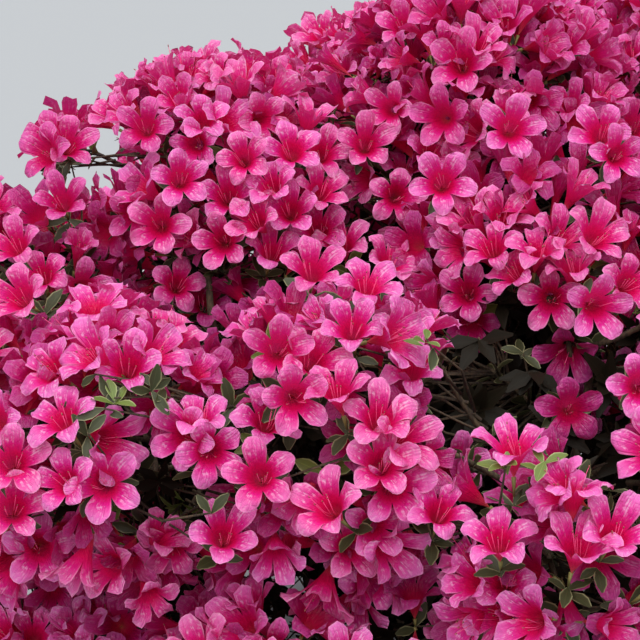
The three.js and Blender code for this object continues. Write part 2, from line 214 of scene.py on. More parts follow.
# Room for what shows plainly, in millimetres. Leads stand proud of the mounds. Other trusses keep
# clear of a lead's foot, other blossoms of its face and of the line of sight to it, those in the
# shade by less, and leaves of its throat down to a depth.
PROUD = 11.0
LEAD_ROOM = 12.0
LEAD_APART = 26.0
LEAD_BEFORE = 16.0
LEAD_SIGHT = 23.0
LEAD_DEPTH = 3.0
FOOT_ROOM = 1.3
THROAT_DEPTH = 24.0
LEAF_SIGHT = 15.0
# The same for shoots: where their feet are, and what nothing else stands before.
SHOOT_FOOT = 2.0
SHOOT_SIGHT = 16.0
SHOOT_DEPTH = 8.0

# Recesses where the bloom stands back, and the corner that shows the sky: pixel, and radius and
# depth in millimetres. Blossoms keep clear of their rims.
SKY_DEPTH = 900.0
RECESS_RIM = 10.0
RECESSES = {
    "right": (502, 375, 36, 190),
    "right, near side": (458, 390, 16, 130),
    "right, far side": (587, 376, 26, 170),
    "right, above": (512, 316, 16, 120),
    "right edge": (630, 341, 14, 120),
    "low right edge": (632, 482, 12, 90),
    "far right, before": (612, 366, 9, 120),
    "far right, below": (610, 440, 9, 80),
    "under the left truss": (152, 474, 16, 120),
    "leaves of the left truss": (152, 390, 12, 26),
    "left foot": (200, 503, 14, 110),
    "middle foot": (310, 450, 12, 80),
    "before the middle": (228, 413, 11, 70),
    "between": (238, 345, 14, 80),
    "between, below": (228, 363, 9, 60),
    "sky": (-5, 140, 24, SKY_DEPTH),
    "sky below the outlier": (22, 184, 9, SKY_DEPTH),
    "sky gap": (98, 163, 14, SKY_DEPTH),
}

# Places where the bloom before the camera stands in the shade of more bloom: pixel, and radius in
# millimetres. The blossoms there take the darker shaded pink, which is painted shade.
SHADY = (
    (530, 170, 17), (566, 172, 9), (300, 313, 8), (444, 217, 9), (204, 300, 20), (228, 360, 9),
    (252, 314, 8), (492, 194, 8), (204, 360, 8), (588, 372, 12), (612, 378, 8), (204, 482, 8),
    (156, 408, 10),
)
SHADY_DEPTH = 120.0

# Where blossoms may stand, how many places are tried on a mound 100 mm in radius, and how
# blossoms lean, as in the solids.
PLACES = SimpleNamespace(spacing=88.0, facing=0.12, down=-0.8, inside=4.0, furthest=0.97, rounds=4)
POOL = 420
BLOSSOM_REACH = 44.0
BLOSSOM_DEPTH = 27.0
LEAN = SimpleNamespace(out=0.4, up=0.3, waver=0.35)

# Shares of the trusses with a third and a fourth blossom, and of those with leaves alone. A
# blossom leans out from its truss's axis on a stalk, which is shorter in the shade, and turns its
# first lobe nearly upwards.
TRUSS = SimpleNamespace(
    third=0.8, fourth=0.55, leafy=0.05, lean=(0.55, 0.85), middle_lean=0.02,
    stalk=(7.0, 12.0), shorter=5.0, sway=0.35, face=18.0,
)


def linear(hex_text):
    """An sRGB hex colour as linear red, green, blue and alpha."""
    parts = np.array([int(hex_text[start:start + 2], 16) for start in (1, 3, 5)]) / 255
    low, high = parts / 12.92, ((parts + 0.055) / 1.055) ** 2.4
    return (*np.where(parts <= 0.04045, low, high).tolist(), 1.0)


def unit(vectors):
    """Vectors divided by their own lengths."""
    return vectors / np.linalg.norm(vectors, axis=-1, keepdims=True)


def chance(keys, channel):
    """Even numbers from 0 to 1 for whole-number keys and a channel, mixed from their bits."""
    low, bits = np.uint64(0xFFFFFFFF), np.uint64
    mixed = ((np.asarray(keys, bits) + bits(1)) * bits(374761393)) & low
    mixed = mixed ^ bits(((channel + 1) * 668265263) & 0xFFFFFFFF)
    mixed = ((mixed ^ (mixed >> bits(13))) * bits(1274126177)) & low
    mixed = ((mixed ^ (mixed >> bits(15))) * bits(2146121005)) & low
    return (mixed ^ (mixed >> bits(16))).astype(float) / 2**32


def between(keys, channel, low, high):
    """Even numbers from low to high."""
    return low + (high - low) * chance(keys, channel)


def scatter(keys, channel):
    """Vectors whose three parts are even from -1 to 1."""
    return np.stack([2 * chance(keys, channel + part) - 1 for part in range(3)], axis=-1)


def spiral(count):
    """Directions spread evenly over a sphere: equal steps down it, a golden angle apart."""
    index = np.arange(count)
    height = 1 - (2 * index + 1) / count
    out = np.sqrt(1 - height**2)
    turn = index * GOLDEN_ANGLE
    return np.stack([out * np.cos(turn), out * np.sin(turn), height], axis=1)


def turned(first, second, angle):
    """First directions turned by an angle towards second ones that are square to them."""
    return first * np.cos(angle)[..., None] + second * np.sin(angle)[..., None]


def square_to(axes):
    """Two directions square to each axis and to each other."""
    helper = np.where(np.abs(axes[:, 2:]) < 0.9, UP, np.array([1.0, 0.0, 0.0]))
    across = unit(np.cross(helper, axes))
    return across, np.cross(axes, across)


def outwards(points):
    """The dome's own normals at points, which is the way out of the crown."""
    return unit((points - CROWN.middle * UP) / CROWN.half**2)


def crown_mounds():
    """Centres and radii of the near mounds, then of a spiral of others over the dome."""
    near = np.array(list(NEAR_MOUNDS.values()), float)
    keys = np.arange(MOUND.count)
    radii = MOUND.radius + MOUND.spread * (2 * chance(keys, 1) - 1)
    centres = spiral(MOUND.count) * (CROWN.half - radii[:, None]) + CROWN.middle * UP
    apart = np.linalg.norm(centres[:, None] - near[None, :, :3], axis=2).min(axis=1)
    keep = (apart > MOUND.apart) & (centres[:, 2] > MOUND.lowest)
    return np.vstack([near[:, :3], centres[keep]]), np.append(near[:, 3], radii[keep])


def stem_axis(heights):
    """Middle of the leaning main stem at heights."""
    heights = np.atleast_1d(heights).astype(float)
    shift = STEM.lean * (heights / STEM.outline[-1][1]) ** 2
    return np.stack([shift, np.zeros_like(heights), heights], axis=1)


def bough_plans():
    """Each bough's control points and radii, with the middle of the mass that it feeds."""
    plans = []
    for ring in RINGS:
        for index in range(ring.count):
            key = len(plans)
            turn = math.radians(ring.phase + 360 / ring.count * index - 90)
            out = np.array([math.cos(turn), math.sin(turn), 0.0])
            lift = BOUGH.root_sway * (2 * chance(key, 3) - 1)
            root = stem_axis(ring.root_height + lift)[0]
            tip = out * ring.tip_reach + UP * ring.tip_height + scatter(key, 20) * BOUGH.sway
            site = out * ring.site_reach + UP * ring.site_height
            way = tip - root
            level = way * np.array([1, 1, BOUGH.rise])
            early = root + level * BOUGH.early + scatter(key, 30) * BOUGH.sway
            late = tip - unit(site - tip) * BOUGH.late * np.linalg.norm(way)
            plans.append(
                SimpleNamespace(
                    key=key,
                    controls=np.array([root, early, late, tip]),
                    tip=tip,
                    site=site,
                    radii=(ring.root_radius, ring.tip_radius),
                )
            )
    return plans


def curve_at(controls, shares):
    """Points on a centripetal Catmull-Rom curve: on each stretch a cubic whose end slopes come
    from the neighbouring points, each weighted by the root of its distance."""
    path = np.vstack([2 * controls[0] - controls[1], controls, 2 * controls[-1] - controls[-2]])
    stretches = len(controls) - 1
    spots = np.clip(shares, 0, 1) * stretches
    index = np.minimum(spots.astype(int), stretches - 1)
    weight = (spots - index)[:, None]
    p0, p1, p2, p3 = (path[index + step] for step in range(4))
    d0, d1, d2 = (
        np.sqrt(np.linalg.norm(way, axis=1, keepdims=True)) for way in (p1 - p0, p2 - p1, p3 - p2)
    )
    leave = ((p1 - p0) / d0 - (p2 - p0) / (d0 + d1) + (p2 - p1) / d1) * d1
    reach = ((p2 - p1) / d1 - (p3 - p1) / (d1 + d2) + (p3 - p2) / d2) * d1
    square = -3 * p1 + 3 * p2 - 2 * leave - reach
    cube = 2 * p1 - 2 * p2 + leave + reach
    return p1 + leave * weight + square * weight**2 + cube * weight**3


def drawn_inside(places, own, sites, room):
    """Places moved back from the planes halfway to other masses until they have their room."""
    for _ in range(PLACES.rounds):
        for number, site in enumerate(sites):
            way = site - sites[own]
            length = np.maximum(np.linalg.norm(way, axis=1), 1e-9)
            depth = ((sites[own] + way / 2 - places) * way).sum(axis=1) / length
            move = np.where((own != number) & (depth < room), depth - room, 0)
            places = places + way / length[:, None] * move[:, None]
    return places


def spaced(places, spacing):
    """Which places are a full spacing from all kept before them."""
    chosen = np.empty_like(places)
    count, kept = 0, []
    for index, place in enumerate(places):
        if count == 0 or ((chosen[:count] - place) ** 2).sum(axis=1).min() >= spacing**2:
            chosen[count] = place
            count += 1
            kept.append(index)
    return np.array(kept, int)


def crown_places(spacing, pool, sites, room=None, inset=0.0, facing=PLACES.facing):
    """Evenly spaced places on the outside of the mounds, or inset from it, as in the solids: the
    ones that reach out furthest on each mound first, then the others from the top down."""
    centres, radii = crown_mounds()
    radii = radii - inset
    rows = []
    for number, (centre, radius) in enumerate(zip(centres, radii)):
        ways = spiral(round(pool * (radius / 100) ** 2))
        places = centre + radius * ways
        away = np.linalg.norm(places[:, None] - centres[None], axis=2)
        away[:, number] = np.inf
        seen = (away >= radii - PLACES.inside).all(axis=1) & (places[:, 2] >= CROWN.skirt)
        seen &= ((ways * outwards(places)).sum(axis=1) >= facing) & (ways[:, 2] >= PLACES.down)
        furthest = ways @ outwards(centre) > PLACES.furthest
        order = np.where(furthest, -CROWN.half[2], CROWN.middle - places[:, 2])
        keys = number * KEYS_TO_A_MOUND + np.arange(len(ways))
        mound = np.full(len(ways), number)
        rows.append([part[seen] for part in (keys, mound, ways, places, order)])
    keys, mound, ways, places, order = (np.concatenate(part) for part in zip(*rows))
    own = np.linalg.norm(places[:, None] - sites[None], axis=2).argmin(axis=1)
    if room is not None:
        places = drawn_inside(places, own, sites, room)
    first = np.argsort(order, kind="stable")
    kept = first[spaced(places[first], spacing)]
    return SimpleNamespace(
        key=keys[kept], mound=mound[kept], way=ways[kept], place=places[kept], own=own[kept]
    )


def sight(pixels):
    """Directions from the camera through pixels, and the camera's own right, up and back."""
    drop = math.radians(VIEW.drop)
    right = np.array([1.0, 0.0, 0.0])
    up = np.array([0.0, math.sin(drop), math.cos(drop)])
    back = np.array([0.0, -math.cos(drop), math.sin(drop)])
    shift = (np.asarray(pixels, float) - VIEW.pixels / 2) / (VIEW.lens / VIEW.sensor * VIEW.pixels)
    ways = unit(right * shift[:, :1] - up * shift[:, 1:] - back)
    return ways, right, up, back


def first_seen(pixels):
    """How far from the camera the line through each pixel first meets a mound, or passes it most
    closely where it misses them all."""
    ways = sight(pixels)[0]
    centres, radii = crown_mounds()
    radii = radii + PROUD
    along = ways @ (centres - VIEW.place).T
    aside = np.linalg.norm(centres - VIEW.place, axis=1) ** 2 - along**2
    reach = along - np.sqrt(np.maximum(radii**2 - aside, 0))
    met = np.where(aside < radii**2, reach, np.inf).min(axis=1)
    missed = along[np.arange(len(ways)), (aside - radii**2).argmin(axis=1)]
    return ways, np.where(np.isfinite(met), met, missed)


def in_sight(points, pixels, radii, depths):
    """Whether points lie near the lines from the camera through pixels, by their own radii, and
    before the first mound there or no deeper than given behind it."""
    ways, reach = first_seen(pixels)
    shift = points - VIEW.place
    along = shift @ ways.T
    aside = (shift**2).sum(axis=1)[:, None] - along**2
    return ((aside < np.square(radii)) & (along < reach + depths)).any(axis=1)


def lead_rows(further=()):
    """The lead blossoms as rows, none of them standing back, and then further ones that do."""
    rows = [(*lead, 0) for truss in LEADS.values() for lead in truss]
    return np.array(rows + list(further), float)


def hides_lead(points, margin, depth=LEAD_DEPTH, further=()):
    """Whether points stand before a lead blossom, or one further back, or no deeper in its throat
    than a depth, and nearer to its line of sight than a margin."""
    rows = lead_rows(further)
    return in_sight(points, rows[:, :2], margin, rows[:, 4] + depth)


def hides_shoot(points, margin):
    """Whether points stand before a leafy shoot and nearer to its line of sight than a margin."""
    pixels = np.array([shoot[:2] for shoot in OLD_SHOOTS + FRESH_SHOOTS], float)
    return in_sight(points, pixels, margin, SHOOT_DEPTH)


def in_recess(points, deepest=math.inf, margin=0.0):
    """Whether points stand in a recess of the bloom, down to a depth, or near it by a margin."""
    recesses = np.array(list(RECESSES.values()), float)
    depths = np.where(recesses[:, 3] < SKY_DEPTH, np.minimum(recesses[:, 3], deepest), SKY_DEPTH)
    return in_sight(points, recesses[:, :2], recesses[:, 2] + margin, depths)


def skin_under(points):
    """How deep points lie under the skin, and its way out there. The depth is blend times ln of
    the sum of exp(-d / blend) over the distances d to the mounds and to the base."""
    centres, radii = crown_mounds()
    shift = points[:, None] - centres
    away = np.linalg.norm(shift, axis=2)
    share = (points - HEART.middle * UP) / SHADED.base
    beyond = (np.linalg.norm(share, axis=1) - 1) * SHADED.base.min()
    pull = np.exp((radii - away) / SHADED.blend)
    base_pull = np.exp(-beyond / SHADED.blend)
    way = (shift / away[..., None] * pull[..., None]).sum(axis=1)
    way = way + unit(share / SHADED.base) * base_pull[:, None]
    return SHADED.blend * np.log(pull.sum(axis=1) + base_pull), unit(way)


def shaded_places():
    """Places on the skin's inside, thinned from the top down. Each is found along a ray from the
    crown's middle, stepping in from outside until it is deep enough."""
    rays = spiral(SHADED.pool)
    middle = CROWN.middle * UP
    reach = np.full(len(rays), CROWN.half[0] + SHADED.inset * 2)
    for _ in range(SHADED.steps):
        under = skin_under(middle + rays * reach[:, None])[0]
        reach = np.maximum(reach - np.maximum(SHADED.inset - under, 0), 1)
    places = middle + rays * reach[:, None]
    under, ways = skin_under(places)
    met = np.abs(under - SHADED.inset) < SHADED.near
    kept = np.flatnonzero(
        met & (places[:, 2] > CROWN.skirt + SHADED.inset) & (ways[:, 2] > PLACES.down)
    )
    kept = kept[np.argsort(-places[kept, 2], kind="stable")]
    kept = kept[spaced(places[kept], SHADED.spacing)]
    return SimpleNamespace(key=SHADED_KEY + kept, way=ways[kept], place=places[kept])


def with_leads(trusses, depth):
    """The trusses out of the recesses, with one more for each lead blossom and leafy shoot, and
    how deep under its place each one's foot is."""
    leads = lead_rows(BEHIND)
    shoots = [(*shoot, 0) for shoot in OLD_SHOOTS + FRESH_SHOOTS]
    kinds = (
        (LEAD_KEY, leads), (HOLLOW_KEY, HOLLOW_LEADS),
        (SHOOT_KEY, OLD_SHOOTS), (FRESH_KEY, FRESH_SHOOTS),
    )
    keys = np.concatenate([first + np.arange(len(rows)) for first, rows in kinds])
    leads = np.vstack([leads, HOLLOW_LEADS, shoots])
    ways, reach = first_seen(leads[:, :2])
    place = VIEW.place + ways * (reach + leads[:, 4])[:, None]
    turn, lift = np.radians(leads[:, 2:4]).T[..., None]
    right, up, back = sight(leads[:, :2])[1:]
    axis = (back * np.cos(turn) + right * np.sin(turn)) * np.cos(lift) + up * np.sin(lift)
    crowded = np.linalg.norm(trusses.place[:, None] - place[None], axis=2).min(axis=1) < LEAD_ROOM
    kept = ~in_recess(trusses.place) & ~crowded
    return SimpleNamespace(
        key=np.append(trusses.key[kept], keys),
        place=np.vstack([trusses.place[kept], place]),
        axis=np.vstack([facings(trusses)[kept], axis]),
        depth=np.concatenate(
            [np.full(kept.sum(), depth), np.where(keys >= SHOOT_KEY, SHOOT_FOOT, depth)]
        ),
    )


def keyed(keys, first, after):
    """Whether keys are of the kinds from a first one up to the one after."""
    return (keys >= first) & (keys < after)


def facings(tips):
    """Which way blossoms face: out of their mound and crown, up to the light, and at random."""
    lean = outwards(tips.place) * LEAN.out + UP * LEAN.up + scatter(tips.key, 5) * LEAN.waver
    return unit(tips.way + lean)


def tip_groups(members, tips):
    """A mass's tips in groups that its branches feed, one to a mound, small ones joined."""
    mounds = dict.fromkeys(tips.mound[members].tolist())
    groups = [[index for index in members if tips.mound[index] == mound] for mound in mounds]
    groups.sort(key=len, reverse=True)
    while len(groups) > 1 and len(groups[-1]) < FEWEST:
        few = groups.pop()
        middle = tips.place[few].mean(axis=0)
        nearest = min(groups, key=lambda g: np.linalg.norm(tips.place[g].mean(axis=0) - middle))
        nearest.extend(few)
        groups.sort(key=len, reverse=True)
    return groups


def roots_along(start, end, bare, goals):
    """Where on a limb the twigs to its goals leave it: at even steps, the nearest goal first."""
    along = end - start
    order = np.argsort((goals - start) @ along, kind="stable")
    shares = np.empty(len(goals))
    shares[order] = bare + (1 - bare) * np.arange(1, len(goals) + 1) / len(goals)
    return start + along * shares[:, None]


def all_trusses(spacing, depth, sites, tips):
    """Every truss: those round the mounds, the leads, and those back in the shade. Each has its
    foot at its own depth behind its place, and the nearest tip feeds it."""
    mounds = crown_places(spacing, POOL * 4, sites, facing=TRUSS_FACING)
    trusses = with_leads(mounds, depth)
    shaded = shaded_places()
    kept = ~in_recess(shaded.place)
    trusses.key = np.append(trusses.key, shaded.key[kept])
    trusses.place = np.vstack([trusses.place, shaded.place[kept]])
    trusses.axis = np.vstack([trusses.axis, facings(shaded)[kept]])
    trusses.depth = np.append(trusses.depth, np.full(kept.sum(), SHADED.depth))
    trusses.foot = trusses.place - trusses.axis * trusses.depth[:, None]
    apart = np.linalg.norm(trusses.place[:, None] - tips.place[None], axis=2)
    trusses.tip = apart.argmin(axis=1)
    return trusses


def inner_sprays(sites, feet):
    """The sprays without bloom: those under the mounds, and those in the crown's heart. The
    nearest of the tips' feet feeds each one."""
    inner = crown_places(INNER.spacing, POOL * 4, sites, inset=INNER.inset, facing=INNER.facing)
    kept = ~in_recess(inner.place, INNER.recess)
    shells = [spiral(HEART.pool) * HEART.half * share for share in HEART.shells]
    heart = np.concatenate(shells) + HEART.middle * UP
    deep = (skin_under(heart)[0] > HEART.under) | in_recess(heart, margin=RECESS_RIM)
    heart = heart[deep & (heart[:, 2] > HEART.lowest)]
    chosen = spaced(heart, HEART.spacing)
    inner = SimpleNamespace(
        key=np.append(inner.key[kept], HEART_KEY + chosen),
        place=np.vstack([inner.place[kept], heart[chosen]]),
        axis=np.vstack([facings(inner)[kept], outwards(heart[chosen])]),
    )
    inner.tip = np.linalg.norm(inner.place[:, None] - feet[None], axis=2).argmin(axis=1)
    return inner


@lru_cache(maxsize=1)
def grow(spacing, truss_depth):
    """The shrub's growth. Limbs are kept as pairs of start and end points, by kind. spacing is
    the distance between trusses and truss_depth how deep under the bloom each one's foot is."""
    plans = bough_plans()
    sites = np.array([plan.site for plan in plans])
    tips = crown_places(PLACES.spacing, POOL, sites, BLOSSOM_REACH + 1)
    feet = tips.place - facings(tips) * BLOSSOM_DEPTH
    trusses = all_trusses(spacing, truss_depth, sites, tips)
    inner = inner_sprays(sites, feet)
    sprigs = (
        ("sprig", trusses.tip, trusses.foot, TWIGS.bare),
        ("inner_sprig", inner.tip, inner.place, 0.0),
    )
    limbs = {kind: np.empty((len(ends), 2, 3)) for kind, _, ends, _ in sprigs}
    limbs.update(stem=[], branch=[], twig=[])
    for number, plan in enumerate(plans):
        members = np.flatnonzero(tips.own == number).tolist()
        heading = unit(np.diff(curve_at(plan.controls, np.array([0.999, 1.0])), axis=0))[0]
        hub = plan.tip + heading * STEMS.length * np.linalg.norm(plan.site - plan.tip)
        limbs["stem"].append((plan.tip - heading, hub))
        groups = tip_groups(members, tips)
        middles = np.array([tips.place[group].mean(axis=0) for group in groups])
        roots = roots_along(plan.tip, hub, STEMS.bare, middles)
        for group, middle, root in zip(groups, middles, roots):
            end = root + (middle - root) * BRANCHES.length
            limbs["branch"].append((root, end))
            for tip, twig_root in zip(group, roots_along(root, end, BRANCHES.bare, feet[group])):
                twig_end = twig_root + (feet[tip] - twig_root) * TWIGS.length
                limbs["twig"].append((twig_root, twig_end))
                for kind, fed_by, ends, bare in sprigs:
                    fed = np.flatnonzero(fed_by == tip)
                    if len(fed):
                        starts = roots_along(twig_root, twig_end, bare, ends[fed])
                        limbs[kind][fed] = np.stack([starts, ends[fed]], axis=1)
    limbs = {kind: np.array(pairs) for kind, pairs in limbs.items()}
    return SimpleNamespace(plans=plans, trusses=trusses, inner=inner, **limbs)


def grid_faces(copies, rows, columns, closed=False):
    """Corner numbers of the quads of many like grids. A closed grid's last column meets its
    first one."""
    row, column = np.meshgrid(np.arange(rows - 1), np.arange(columns - (not closed)), indexing="ij")
    beside = (column + 1) % columns
    quads = np.stack(
        [row * columns + column, row * columns + beside,
         (row + 1) * columns + beside, (row + 1) * columns + column],
        axis=-1,
    ).reshape(-1, 4)
    return (np.arange(copies)[:, None, None] * rows * columns + quads).reshape(-1, 4)


def make_piece(name, points, faces, material, stands_for, uvs=None):
    """A mesh piece in metres from points in millimetres and a list of arrays of faces."""
    mesh = bpy.data.meshes.new(name)
    points = points.reshape(-1, 3)
    corners = np.concatenate([part.ravel() for part in faces]).astype(np.int32)
    sizes = np.concatenate([np.full(len(part), part.shape[1]) for part in faces])
    mesh.vertices.add(len(points))
    mesh.vertices.foreach_set("co", (points * MM).astype(np.float32).ravel())
    mesh.loops.add(len(corners))
    mesh.loops.foreach_set("vertex_index", corners)
    mesh.polygons.add(len(sizes))
    starts = np.concatenate([[0], np.cumsum(sizes)[:-1]])
    mesh.polygons.foreach_set("loop_start", starts.astype(np.int32))
    mesh.polygons.foreach_set("use_smooth", np.full(len(sizes), True))
    if uvs is not None:
        layer = mesh.uv_layers.new(name="OFBake")
        layer.data.foreach_set("uv", uvs.reshape(-1, 2)[corners].astype(np.float32).ravel())
    mesh.update(calc_edges=True)
    mesh.validate()
    mesh.materials.append(material)
    piece = bpy.data.objects.new(name, mesh)
    bpy.context.scene.collection.objects.link(piece)
    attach(piece, "root")
    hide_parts(*stands_for)
    return piece


def tube_points(start, end, radii, sides, rings, bow):
    """Corners of many tapering tubes. Each runs from start to end, bowed aside by the bow
    vector times 4 s (1 - s) at the share s of its way, with even rings of corners round it."""
    share = np.linspace(0, 1, rings)[None, :, None]
    middle = start[:, None] + (end - start)[:, None] * share
    middle = middle + bow[:, None] * 4 * share * (1 - share)
    across, third = square_to(unit(end - start))
    turn = np.arange(sides) * 2 * math.pi / sides
    ring = turned(across[:, None], third[:, None], turn)
    radius = radii[0] + (radii[1] - radii[0]) * np.linspace(0, 1, rings)
    return middle[:, :, None] + ring[:, None] * radius[None, :, None, None]


def tube_faces(copies, rings, sides):
    """Faces of many tubes: their sides and a cap at both ends."""
    first = np.arange(copies)[:, None] * rings * sides
    last = first + (rings - 1) * sides
    caps = np.concatenate([first + np.arange(sides)[::-1], last + np.arange(sides)])
    return [grid_faces(copies, rings, sides, closed=True), caps]


def joined(parts):
    """Points and faces of several meshes as one mesh."""
    offset, points, faces = 0, [], []
    for part_points, part_faces in parts:
        flat = part_points.reshape(-1, 3)
        points.append(flat)
        faces.extend(part + offset for part in part_faces)
        offset += len(flat)
    return np.concatenate(points), faces


def add_node(tree, kind, inputs=None, **settings):
    """Adds a node, sets its own settings, and sets or links its inputs."""
    node = tree.nodes.new(kind)
    for name, value in settings.items():
        setattr(node, name, value)
    for name, value in (inputs or {}).items():
        if isinstance(value, bpy.types.NodeSocket):
            tree.links.new(value, node.inputs[name])
        else:
            node.inputs[name].default_value = value
    return node


def new_material(name):
    """An empty node material, with its tree and output node."""
    material = bpy.data.materials.new(name)
    material.use_nodes = True
    material.node_tree.nodes.clear()
    output = add_node(material.node_tree, "ShaderNodeOutputMaterial")
    return material, material.node_tree, output


def set_stops(ramp, stops):
    """Gives a colour ramp its stops, as pairs of place and colour."""
    elements = ramp.color_ramp.elements
    while len(elements) < len(stops):
        elements.new(0.5)
    for element, (place, colour) in zip(elements, stops):
        element.position = place
        element.color = colour


# How high the bumps of petals, leaves and bark stand, in millimetres.
PETAL_BUMP_MM = 1.4
LEAF_BUMP_MM = 0.5
BARK_BUMP_MM = 1.0


def let_light_through(tree, output, surface, share, glow):
    """Links a surface of thin tissue to the output, with a share of light that comes through it
    and the inputs of that glow."""
    through = add_node(tree, "ShaderNodeBsdfTranslucent", glow)
    mix = add_node(
        tree,
        "ShaderNodeMixShader",
        {0: share, 1: surface.outputs["BSDF"], 2: through.outputs["BSDF"]},
    )
    tree.links.new(mix.outputs["Shader"], output.inputs["Surface"])


def petal_relief(tree, uv):
    """Height of a petal's fine veins, which run out along it, and of its crinkles."""
    heights = [
        add_node(
            tree,
            "ShaderNodeTexNoise",
            {
                "Vector": add_node(
                    tree,
                    "ShaderNodeMapping",
                    {
                        "Vector": uv.outputs["UV"],
                        "Scale": (PETAL_MAP_MM[0] / wide, PETAL_MAP_MM[1] / long, 1.0),
                    },
                ).outputs["Vector"],
                "Scale": 1.0,
                "Detail": 2.0,
                "Distortion": 0.4,
            },
        ).outputs["Fac"]
        for wide, long in (VEINS_MM, CRINKLES_MM)
    ]
    relief = add_node(tree, "ShaderNodeMath", dict(enumerate(heights)), operation="ADD")
    return relief.outputs["Value"]


def petal_rim_and_highlight(tree, place, relief):
    """How pale a petal is at a place on its map, from 0 to 1: at the rim of each lobe, which is the
    strip's sides and end, partly its own paler edge and partly painted edge light, and on the
    crests of its relief, which is a painted highlight."""
    aside = place.outputs["X"]
    for operation, number in (
        ("MULTIPLY", LOBES), ("FRACT", 0), ("SUBTRACT", 0.5), ("ABSOLUTE", 0),
    ):
        step = add_node(tree, "ShaderNodeMath", {0: aside, 1: float(number)}, operation=operation)
        aside = step.outputs["Value"]
    side, lobe, end, crest = (
        add_node(
            tree, "ShaderNodeMapRange", {"Value": value, "From Min": low, "From Max": high}
        ).outputs["Result"]
        for value, (low, high) in (
            (aside, PALE.sides), (place.outputs["Y"], PALE.lobe), (place.outputs["Y"], PALE.end),
            (relief, PALE.crests),
        )
    )
    paleness = side
    for operation, value in (("MULTIPLY", lobe), ("MAXIMUM", end), ("MULTIPLY", PALE.rim)):
        step = add_node(tree, "ShaderNodeMath", {0: paleness, 1: value}, operation=operation)
        paleness = step.outputs["Value"]
    for operation, value in (("MULTIPLY", lobe), ("MULTIPLY", PALE.crest), ("MAXIMUM", paleness)):
        step = add_node(tree, "ShaderNodeMath", {0: crest, 1: value}, operation=operation)
        crest = step.outputs["Value"]
    return crest


def petal_material(name, throat, lobe, tip, pale):
    """Living azalea petal: thin wet tissue that lets light through. Its colour runs out from the
    throat, fine veins and crinkles catch the sky, their crests carry a painted highlight, and the
    rims are pale, partly from painted edge light."""
    material, tree, output = new_material(name)
    uv = add_node(tree, "ShaderNodeUVMap", uv_map="OFBake")
    place = add_node(tree, "ShaderNodeSeparateXYZ", {"Vector": uv.outputs["UV"]})
    ramp = add_node(tree, "ShaderNodeValToRGB", {"Fac": place.outputs["Y"]})
    foot, tube, funnel = linear("#E88468"), linear("#DC3E58"), linear("#CC0A48")
    stops = ((0.0, foot), (0.13, tube), (0.28, funnel), (0.42, throat), (0.61, lobe), (0.9, tip))
    set_stops(ramp, stops)
    relief = petal_relief(tree, uv)
    tinted = add_node(
        tree,
        "ShaderNodeMixRGB",
        {
            "Fac": petal_rim_and_highlight(tree, place, relief),
            "Color1": ramp.outputs["Color"], "Color2": pale,
        },
    )
    bump = add_node(
        tree, "ShaderNodeBump", {"Height": relief, "Strength": 0.8, "Distance": PETAL_BUMP_MM * MM}
    )
    petal = add_node(
        tree,
        "ShaderNodeBsdfPrincipled",
        {
            "Base Color": tinted.outputs["Color"], "Roughness": 0.4, "IOR": 1.38,
            "Specular IOR Level": 0.16, "Normal": bump.outputs["Normal"],
            "Coat Weight": 0.25, "Coat Roughness": 0.16, "Coat Normal": bump.outputs["Normal"],
        },
    )
    glow = {"Color": linear("#E62878"), "Normal": bump.outputs["Normal"]}
    let_light_through(tree, output, petal, 0.3, glow)
    return material


def leaf_material(name, blade, margin, rib, wax):
    """Small leathery leaf with a dull wax, a paler margin and a pale rib down its middle. The
    wax is how strongly it shines."""
    material, tree, output = new_material(name)
    uv = add_node(tree, "ShaderNodeUVMap", uv_map="OFBake")
    place = add_node(tree, "ShaderNodeSeparateXYZ", {"Vector": uv.outputs["UV"]})
    ramp = add_node(tree, "ShaderNodeValToRGB", {"Fac": place.outputs["X"]})
    half = ((0.0, margin), (0.14, blade), (0.46, blade))
    stops = (*half, (0.5, rib), *((1 - spot, colour) for spot, colour in reversed(half)))
    set_stops(ramp, stops)
    grain = add_node(
        tree, "ShaderNodeTexNoise", {"Vector": uv.outputs["UV"], "Scale": 18.0, "Detail": 3.0}
    )
    bump = add_node(
        tree,
        "ShaderNodeBump",
        {"Height": grain.outputs["Fac"], "Strength": 0.3, "Distance": LEAF_BUMP_MM * MM},
    )
    leaf = add_node(
        tree,
        "ShaderNodeBsdfPrincipled",
        {
            "Base Color": ramp.outputs["Color"], "Roughness": 0.48, "IOR": 1.45,
            "Specular IOR Level": wax, "Normal": bump.outputs["Normal"],
        },
    )
    let_light_through(tree, output, leaf, 0.15, {"Color": ramp.outputs["Color"]})
    return material


def plain_material(name, colour, roughness):
    """One plain colour without gloss, for live tissue under a millimetre thick and the floor."""
    material, tree, output = new_material(name)
    shader = add_node(
        tree, "ShaderNodeBsdfPrincipled", {"Base Color": colour, "Roughness": roughness, "IOR": 1.4}
    )
    tree.links.new(shader.outputs["BSDF"], output.inputs["Surface"])
    return material


